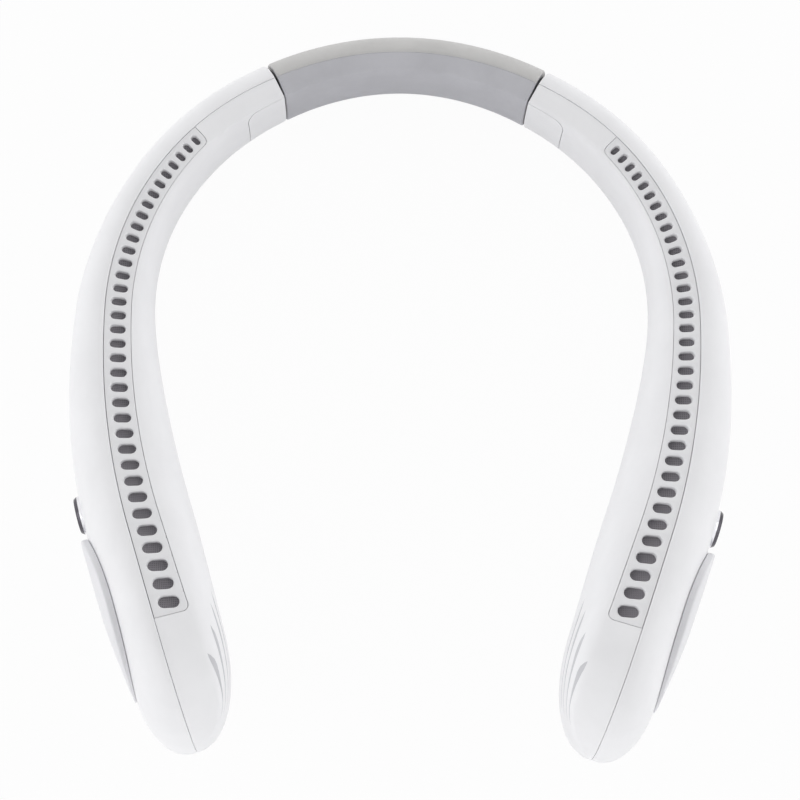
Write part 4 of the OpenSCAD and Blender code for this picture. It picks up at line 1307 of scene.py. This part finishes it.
@dataclass
class OutletStrip(ArmPart):
    """The pale strip with its row of round-ended slots, each with a bright rolled lip, over a fine mesh."""

    slots: int = 35
    slot_l: Point2 = (3.2, 6.0)
    slot_w: Point2 = (1.9, 3.5)
    edge: float = 2.0
    pitch_share: float = 0.65
    skew_share: float = 0.6
    depth: float = 2.3
    gap: float = 0.12
    lip: float = 0.42
    rim_round: float = 0.22
    corner: float = 1.9
    mesh_depth: Point2 = (2.35, 2.6)
    mesh_inset: float = 0.4
    long_steps: int = 10
    short_steps: int = 6
    top_near: float = 0.8
    wall_deep: float = 1.5

    def slot_sum(self, i: int) -> float:
        """How far along the slots' growing pitch a slot is."""
        return i * self.pitch_share + i * (i - 1) / 2 * (1 - self.pitch_share) / (self.slots - 2)

    def slot_s(self, i: int) -> float:
        """Finds a slot's place.

        Args:
            i: the slot's number.

        Returns:
            Its place on the path.
        """
        first = FORM.strip_start + self.edge + self.slot_w[0] / 2
        room = FORM.strip_end - FORM.strip_start - 2 * self.edge - self.slot_w[0] / 2 - self.slot_w[1] / 2
        return first + room * self.slot_sum(i) / self.slot_sum(self.slots - 1)

    def skew(self, s: float) -> float:
        """Turn of a slot from square with the arm, in radians."""
        return max(0.0, FORM.turn(s) - math.pi / 2) * self.skew_share

    def stadium(self, i: int, grow: float) -> list[Point2]:
        """A slot's outline.

        Args:
            i: the slot's number.
            grow: how far it is grown all round.

        Returns:
            Places and offsets.
        """
        share, arc = i / (self.slots - 1), self.long_steps
        length = self.slot_l[0] + (self.slot_l[1] - self.slot_l[0]) * share + 2 * grow
        width = self.slot_w[0] + (self.slot_w[1] - self.slot_w[0]) * share + 2 * grow
        s, half, r = self.slot_s(i), (length - width) / 2, width / 2
        turn, centre = self.skew(s), -FORM.strip_w(s) / 2
        run, turns = self.short_steps, [math.pi * k / arc for k in range(arc)]
        flat = [(half + r * math.sin(a), -r * math.cos(a)) for a in (turns[2], turns[1])]
        flat += [(half - 2 * half * k / run, -r) for k in range(run)]
        flat += [(-half - r * math.sin(a), -r * math.cos(a)) for a in turns]
        flat += [(-half + 2 * half * k / run, r) for k in range(run)]
        flat += [(half + r * math.sin(a), r * math.cos(a)) for a in turns[:-2]]
        return [(s - a * math.sin(turn) + b * math.cos(turn), centre + a * math.cos(turn) + b * math.sin(turn))
                for a, b in flat]

    def divider(self, i: int, share: float) -> Point2:
        """A point on the line between two slots' cells.

        Args:
            i: the number of the slot after the line.
            share: share of the way from the parting line to the inner edge.

        Returns:
            Its place and offset.
        """
        if i == 0 or i == self.slots:
            s = FORM.strip_start + self.gap if i == 0 else FORM.strip_end - self.gap
            turn = 0.0
        else:
            s = (self.slot_s(i - 1) + self.slot_s(i)) / 2
            turn = self.skew(s)
        w = FORM.strip_w(s) - self.gap
        offset = -self.gap + (self.gap - w) * share
        return (s - math.tan(turn) * (offset + w / 2), offset)

    def border(self, i: int) -> list[Point2]:
        """The outline of a slot's cell, in step with its stadium.

        Args:
            i: the slot's number.

        Returns:
            Places and offsets.
        """
        rear, front = ([self.divider(j, k / self.long_steps) for k in range(self.long_steps + 1)] for j in (i, i + 1))

        def along(p: Point2, q: Point2, k: int, inner: bool) -> Point2:
            """A point of the cell's inner or outer side."""
            s = p[0] + (q[0] - p[0]) * k / self.short_steps
            return (s, -(FORM.strip_w(s) - self.gap) if inner else -self.gap)

        points = rear[:-1]
        points += [along(rear[-1], front[-1], k, True) for k in range(self.short_steps)]
        points += front[:0:-1]
        points += [along(front[0], rear[0], k, False) for k in range(self.short_steps)]
        return [self.rounded(p) for p in points]

    def rounded(self, p: Point2) -> Point2:
        """Draws a border point onto the strip's two rounded inner corners.

        Args:
            p: its place and offset.

        Returns:
            The place and offset that it gets.
        """
        r = self.corner
        for end, way in ((FORM.strip_start + self.gap, 1), (FORM.strip_end - self.gap, -1)):
            centre = (end + way * r, -(FORM.strip_w(end) - self.gap) + r)
            across, along = p[0] - centre[0], p[1] - centre[1]
            length = math.hypot(across, along)
            if across * way < 0 and along < 0 and length > r:
                return (centre[0] + across * r / length, centre[1] + along * r / length)
        return p

    def is_top(self, vert: bmesh.types.BMVert) -> bool:
        """Tells whether a rim point lies on the strip's top face.

        Args:
            vert: the point.

        Returns:
            True if it has a level face beside it and a wall that goes down from it.
        """
        near, deep = vert.co.z - self.top_near * MM, vert.co.z - self.wall_deep * MM
        level = any(face.normal.z ** 2 > 0.5 and face.calc_center_median().z >= near
                    and all(other.co.z >= deep for other in face.verts) for face in vert.link_faces)
        return level and any(other.co.z < deep for edge in vert.link_edges for other in edge.verts)

    def build(self) -> None:
        """Makes the strip, one cell at a time, rolls its outer edge, and makes the mesh."""
        maker = Maker(self.own("slotted_strip"))
        lip = self.lip
        profile = ((lip, 0.0), (lip * 0.62, 0.05), (lip * 0.28, 0.18), (0.06, 0.38), (0.0, 0.6), (0.0, self.depth))
        for i in range(self.slots):
            border = self.border(i)
            loops = [[FORM.under_strip(*p, 0.0) for p in border]]
            loops += [[FORM.under_strip(*p, depth) for p in self.stadium(i, grow)] for grow, depth in profile]
            loops.append([FORM.under_strip(*p, self.depth) for p in border])

            def at(row: int, k: int, loops: list = loops) -> Vector:
                """A point of the cell: round its border, the slot's lip and walls, and back below."""
                return loops[row][k % len(loops[row])]

            maker.sheet(len(loops), len(border) + 1, at)
        maker.weld()
        rim = maker.rims()
        maker.close_rims()
        tops = [e for e in rim if e.is_valid and all(self.is_top(v) for v in e.verts)]
        bmesh.ops.bevel(maker.bm, geom=tops, offset=self.rim_round * MM, offset_type="OFFSET", segments=2,
                        profile=0.5, affect="EDGES", material=-1, clamp_overlap=True)
        self.keep(self.closed(maker, self.palette.strip, 40), "arm", "strip_grey", "outlet_grille")
        self.mesh()

    def mesh(self) -> None:
        """Lays the fine mesh that shows as an even grey under all the slots."""
        maker, count, across = Maker(self.own("outlet_mesh")), 150, 6
        first, last = FORM.strip_start + self.mesh_inset, FORM.strip_end - self.mesh_inset
        for depth in self.mesh_depth:

            def at(i: int, j: int, depth: float = depth) -> Vector:
                """Finds a point of the mesh.

                Args:
                    i, j: its number along and across the strip.
                    depth: its depth under the strip's top.

                Returns:
                    The point in metres.
                """
                s = first + (last - first) * i / count
                wide = FORM.strip_w(s) - 2 * self.mesh_inset
                return FORM.under_strip(s, -self.mesh_inset - wide * j / across, depth)

            maker.sheet(count + 1, across + 1, at)
        maker.close_rims()
        self.keep(self.closed(maker, self.palette.mesh), "arm", "duct_dark")


# ---------------------------------------------------------------- intake cover and button


@dataclass
class IntakeCover(ArmPart):
    """The raised oval plate over the blower's intake, on its posts."""

    length: float = 50.0
    height: float = 35.6
    thickness: float = 1.4
    gap: float = 0.9
    sink_share: float = 0.7
    round_edge: float = 0.55
    chamfer: float = 0.2
    crown: float = 0.12
    skirt_gap: float = 0.12
    skirt_fade: float = 0.35
    skirt_w: float = 1.2
    post_r: float = 1.4
    post_sink: float = 1.7
    post_share: float = 0.84
    post_turns: tuple[float, ...] = (0.0, 72.0, 180.0, 288.0)
    points: int = 120

    def at(self, radius: float, angle: float, lift: float) -> Vector:
        """A point over the casing's outer face.

        Args:
            radius: share of the oval's half size.
            angle: turn round the oval's middle.
            lift: height off the casing.

        Returns:
            The point in metres.
        """
        s = FORM.cover_s - radius * self.length / 2 * math.cos(angle)
        z = FORM.fan_r + radius * self.height / 2 * math.sin(angle)
        return FORM.on_outer(s, z, lift * self.sunk(s))

    def sunk(self, s: float) -> float:
        """Share of the cover's lift that is left at a place, as it sinks towards its front end."""
        u = max(0.0, min(1.0, (s - FORM.cover_s) / self.length * 2))
        return 1 - self.sink_share * u * u

    def skirt(self, angle: float) -> float:
        """How far the rim reaches down to the casing: along the top only, so that air comes in from below."""
        share = max(0.0, min(1.0, (math.sin(angle) + self.skirt_fade) / self.skirt_fade))
        return (self.gap - self.skirt_gap) * share * share * (3 - 2 * share)

    def posts(self, maker: Maker) -> None:
        """Adds the posts that hold the plate off the casing.

        Args:
            maker: the maker with the plate in it.
        """
        for a in map(math.radians, self.post_turns):
            s = FORM.cover_s - self.length / 2 * self.post_share * math.cos(a)
            z = FORM.fan_r + self.height / 2 * self.post_share * math.sin(a)
            low = FORM.on_outer(s, z, -self.post_sink)
            high = FORM.on_outer(s, z, (self.gap + self.thickness / 2) * self.sunk(s))
            maker.rod((low + high) / 2, high - low, self.post_r * MM, (high - low).length, 40)

    def build(self) -> None:
        """Makes the plate from rings, with rolled edges and a skirt along its top, and its four posts."""
        maker = Maker(self.own("cover_plate"))
        top, low, r, chamfer = self.gap + self.thickness, self.gap, self.round_edge, self.chamfer
        short = self.height / 2
        profile = [(share, top + self.crown * (1 - share)) for share in (0.12, 0.3, 0.5, 0.7, 0.85)]
        profile += [(1 - r / short * (1 - math.sin(a)), top - r * (1 - math.cos(a))) for a in (0.0, *EIGHTHS)]
        skirt = range(len(profile), len(profile) + 3)
        profile += [(1.0, low + chamfer), (1 - chamfer / short, low), (1 - self.skirt_w / short, low),
                    (1 - (self.skirt_w + chamfer) / short, low), (0.85, low), (0.5, low), (0.12, low)]
        turns = [2 * math.pi * k / self.points for k in range(self.points)]
        maker.loft([self.at(share, a, lift - (self.skirt(a) if i in skirt else 0.0)) for a in turns]
                   for i, (share, lift) in enumerate(profile))
        self.posts(maker)
        self.keep(self.closed(maker, self.palette.cover), "arm", "cover_pale", "intake_cover")


@dataclass
class ButtonSet(ArmPart):
    """The push button in its bright ring, on the outer side behind the cover."""

    cap_r: float = 4.6
    cap_top: float = 14.3
    cap_round: float = 0.35
    stem_low: float = 9.6273
    stem_r: float = 1.5
    collar_h: float = 0.5
    ring_w: float = 1.2
    ring_low: float = 10.8273
    ring_top: float = 14.8
    crest_h: float = 1.1
    fit: float = 0.1
    lip: float = 0.8

    def turned(self, name: str, profile: Sequence[Point2], finish: Finish) -> bpy.types.Object:
        """Spins a profile round the button's axis.

        Args:
            name: the piece's name without the side.
            profile: radii and offsets from the parting line.
            finish: the piece's finish.

        Returns:
            The turned piece.
        """
        maker, form = Maker(self.own(name)), FORM
        verts = [maker.bm.verts.new((r * MM, 0, x * MM)) for r, x in profile]
        for a, b in zip(verts, verts[1:]):
            maker.bm.edges.new((a, b))
        if profile[0][0] > 0 and profile[-1][0] > 0:
            maker.bm.edges.new((verts[-1], verts[0]))
        bmesh.ops.spin(maker.bm, geom=maker.bm.verts[:] + maker.bm.edges[:], cent=(0, 0, 0), axis=(0, 0, 1),
                       angle=2 * math.pi, steps=96, use_merge=True, use_duplicate=False)
        maker.weld(1e-7)
        stand = aimed(form.place(form.button_s, 0, form.button_z), form.outward_axis(form.button_s))
        bmesh.ops.transform(maker.bm, matrix=stand, verts=maker.bm.verts)
        return self.closed(maker, finish)

    def build(self) -> None:
        """Makes the ring, with its crest in a dark metal that paints the chrome's dark reflection, and the button."""
        palette, low, top = self.palette, self.ring_low, self.ring_top
        r0, r1 = self.cap_r + self.fit, self.cap_r + self.fit + self.ring_w
        middle, joint = r1 - self.ring_w / 2, top - self.crest_h
        mouth = self.cap_r + self.ring_w - self.fit
        ring = self.turned("bright_ring", [
            (r1, low), (r1, top - 1.9), (r1 - 0.07, top - 1.35), (r1 - 0.12, joint), (r0, joint), (r0, low),
            (mouth, low), (mouth, low - self.lip), (r1 + self.lip, low - self.lip), (r1 + self.lip, low)],
            palette.ring)
        self.keep(ring, "arm", "bright_ring", "button_bezel")
        # The crest wears the dark metal: a painted dark reflection on the chrome.
        crest = self.turned("ring_crest", [
            (r1 - 0.12, joint), (r1 - 0.3, top - 0.7), (r1 - 0.46, top - 0.42), (middle, top - 0.2),
            (middle - 0.14, top - 0.06), (middle - 0.3, top), (middle - 0.46, top - 0.06),
            (r0 + 0.03, top - 0.22), (r0, top - 0.34), (r0, joint)], palette.crest)
        self.keep(crest, "arm", "bright_ring", "button_bezel")
        top, r, edge = self.cap_top, self.cap_r, self.cap_round
        dome = [(r * share, top - edge * share ** 2) for share in (0.0, 0.2, 0.4, 0.6, 0.78, 0.88)]
        dome += [(r - edge + edge * math.sin(a), top - 2 * edge + edge * math.cos(a)) for a in EIGHTHS]
        collar = self.cap_r + self.ring_w - 2 * self.fit
        shelf = low - self.lip
        cap = self.turned("button_cap", dome + [
            (r, shelf + self.collar_h), (collar, shelf + self.collar_h), (collar, shelf), (self.stem_r, shelf),
            (self.stem_r, self.stem_low), (0.0, self.stem_low)], palette.cap)
        self.keep(cap, "button", "button_white", "button")


# ---------------------------------------------------------------- band


@dataclass
class NeckBand(SubAssembly):
    """The soft sleeve round the back of the neck, with a crease between its back and its neck side."""

    step: float = 1.5
    wall: float = 2.0
    edge: float = 0.7
    crease: float = 0.24
    crease_depth: float = 0.26

    def outline(self, s: float, inset: float) -> list[Point2]:
        """The whole section, once round, without the shells' edges at the parting line.

        Args:
            s: the place.
            inset: how far the skin is moved in.

        Returns:
            Offsets and heights.
        """
        st = FORM.station(abs(s), inset)
        outer, inner = FORM.outer_row(st, 0.0)[4:-3], FORM.inner_row(st, 0.0)[3:-3]
        crease = [(0.0, st.top - self.crease_depth), (self.crease, st.top - 0.02)]
        return crease + outer + inner[-2:0:-1] + [(-self.crease, st.top - self.crease * st.slope)]

    def build(self) -> None:
        """Makes the sleeve's outside and inside, joins them at the ends and gives the back a lighter copy of the
        silicone, as painted light.
        """
        maker, half = Maker("soft_sleeve"), FORM.band_half
        count = math.ceil(2 * (half - self.edge) / self.step)
        ends = [(half - self.edge * (1 - math.sin(a)), self.edge * (1 - math.cos(a))) for a in QUARTER[1:]]
        places = [(-s, inset) for s, inset in reversed(ends)]
        places += [(-half + self.edge + (2 * half - 2 * self.edge) * i / count, 0.0) for i in range(count + 1)]
        places += ends
        for wall in (0.0, self.wall):
            rings = [self.outline(s, wall or inset) for s, inset in places]

            def at(i: int, j: int, rings: list = rings) -> Vector:
                """Finds a point of the sleeve's skin.

                Args:
                    i, j: its number along the band and round the section.
                    rings: the sections' offsets and heights.

                Returns:
                    The point in metres.
                """
                s, (offset, z) = places[i][0], rings[i][j % len(rings[i])]
                point = FORM.place(abs(s), offset, z)
                return Vector((-point.x, point.y, point.z)) if s < 0 else point

            maker.sheet(len(places), len(rings[0]) + 1, at)
        maker.weld()
        rims = maker.rims()
        for way in (-1, 1):
            bmesh.ops.bridge_loops(maker.bm, edges=[e for e in rims if e.verts[0].co.x * way > 0])
        band = maker.finish(self.paints.of(self.palette.band), 50)
        band.data.materials.append(self.paints.of(self.palette.band_back))
        # Faces beyond the neck's radius, on the back, take the lighter copy: painted light.
        for face in band.data.polygons:
            middle = face.center / MM
            face.material_index = int(math.hypot(middle.x, middle.y - FORM.neck_y) > FORM.neck_r)
        self.keep(band, "band", "silicone_grey", "neck_band")


# ---------------------------------------------------------------- the studio


@dataclass(frozen=True)
class Studio:
    """The camera, the lamps, the pale floor and the white surround."""

    target: Triple = (-0.00026, -0.00641, 0.025)
    distance: float = 0.700
    azimuth: float = -3.5
    elevation: float = 76.05
    roll: float = 4.67
    focal_px: float = 2314.2
    image_px: float = 800.0
    sensor: float = 36.0
    ceiling_light: float = 0.36
    wall_light: float = 2.55
    wall_power: float = 3.0
    floor_glow: float = 0.95
    floor_drop: float = 0.0003

    def camera(self) -> None:
        """Makes the camera at the photograph's angle."""
        data = bpy.data.cameras.new("camera")
        data.sensor_fit, data.sensor_width = "HORIZONTAL", self.sensor
        data.lens = self.focal_px / self.image_px * self.sensor
        data.clip_end = 20
        camera = bpy.data.objects.new("camera", data)
        bpy.context.scene.collection.objects.link(camera)
        tall, turn = math.radians(self.elevation), math.radians(self.azimuth)
        way = Vector((math.sin(turn) * math.cos(tall), -math.cos(turn) * math.cos(tall), math.sin(tall)))
        camera.location = Vector(self.target) + way * self.distance
        aim = (-way).to_track_quat("-Z", "Y").to_matrix()
        camera.rotation_euler = (aim @ Matrix.Rotation(math.radians(self.roll), 3, "Z")).to_euler()
        bpy.context.scene.camera = camera

    def lamp(self, name: str, place: Triple, size: float, power: float) -> None:
        """Adds a soft square lamp that looks at the fan.

        Args:
            name: its name.
            place: its place, in metres.
            size: its width, in metres.
            power: its power in watts.
        """
        data = bpy.data.lights.new(name, "AREA")
        data.shape, data.size, data.energy = "SQUARE", size, power
        lamp = bpy.data.objects.new(name, data)
        lamp.location = place
        lamp.rotation_euler = (Vector(self.target) - Vector(place)).to_track_quat("-Z", "Y").to_euler()
        bpy.context.scene.collection.objects.link(lamp)

    def surround(self) -> None:
        """Sets a white background for the camera and reflections, and soft light, mostly from the sides."""
        world = bpy.data.worlds.new("surround")
        world.use_nodes = True
        wires = Wiring(world.node_tree)
        height = wires.node("SeparateXYZ", wires.node("TexCoord")["Generated"])["Z"]
        level = wires.reckon("SUBTRACT", 1.0, wires.reckon("ABSOLUTE", height))
        walls = wires.reckon("MULTIPLY", wires.reckon("POWER", level, self.wall_power), self.wall_light)
        soft = wires.node("Background", WHITE, wires.reckon("ADD", walls, self.ceiling_light))[0]
        white = wires.node("Background", WHITE, 1.0)[0]
        seen = wires.node("MixShader", wires.rays("Camera", "Glossy", "Transmission"), soft, white)[0]
        wires.node("OutputWorld", Surface=seen)
        bpy.context.scene.world = world

    def floor(self) -> None:
        """Lays a large pale floor that keeps a faint shadow."""
        maker = Maker("studio_floor")
        bmesh.ops.create_grid(maker.bm, x_segments=4, y_segments=4, size=6.0)
        bmesh.ops.translate(maker.bm, vec=(0, 0, -self.floor_drop), verts=maker.bm.verts)
        graph = Graph("floor_white")
        graph.set(Base_Color=(0.86, 0.86, 0.87, 1), Roughness=0.9, Specular_IOR_Level=0.0)
        share = graph.reckon("MULTIPLY", graph.rays("Camera", "Glossy"), self.floor_glow)
        mix = graph.node("MixShader", share, graph.shader.outputs[0], graph.node("Emission")[0])[0]
        graph.put(mix, graph.output.inputs["Surface"])
        floor = maker.finish(graph.material)

    def build(self) -> None:
        """Sets the whole stage."""
        bpy.context.scene.view_settings.view_transform = "Standard"
        self.camera()
        self.surround()
        self.floor()
        self.lamp("key_lamp", (-0.9, -0.5, 0.9), 1.1, 2.8)
        self.lamp("fill_lamp", (0.9, -0.1, 0.8), 1.1, 1.6)
        self.lamp("back_lamp", (0.0, 0.9, 0.7), 0.9, 1.2)


def dress_nodes(paints: Paintbox, palette: Palette) -> None:
    """Gives every CAD node its finish.

    Args:
        paints: the materials.
        palette: which finish each node wears.
    """
    finishes = palette.node_finishes()
    for name, node in frame["nodes"].items():
        kind = name.removeprefix("left_").removeprefix("right_")
        material = paints.of(finishes[kind])
        if not node.data.materials:
            node.data.materials.append(material)
        for slot in node.material_slots:
            slot.material = material


def main() -> None:
    """Builds the fan's visible pieces in order and dresses the rest."""
    logging.basicConfig(level=logging.INFO, format="%(message)s")
    paints, palette = Paintbox(), Palette()
    Studio().build()
    dress_nodes(paints, palette)
    NeckBand(paints, palette).build()
    for side in Side:
        for part in (ArmCasing, OutletStrip, IntakeCover, ButtonSet):
            part(paints, palette, side).build()


if __name__ == "__main__":
    main()
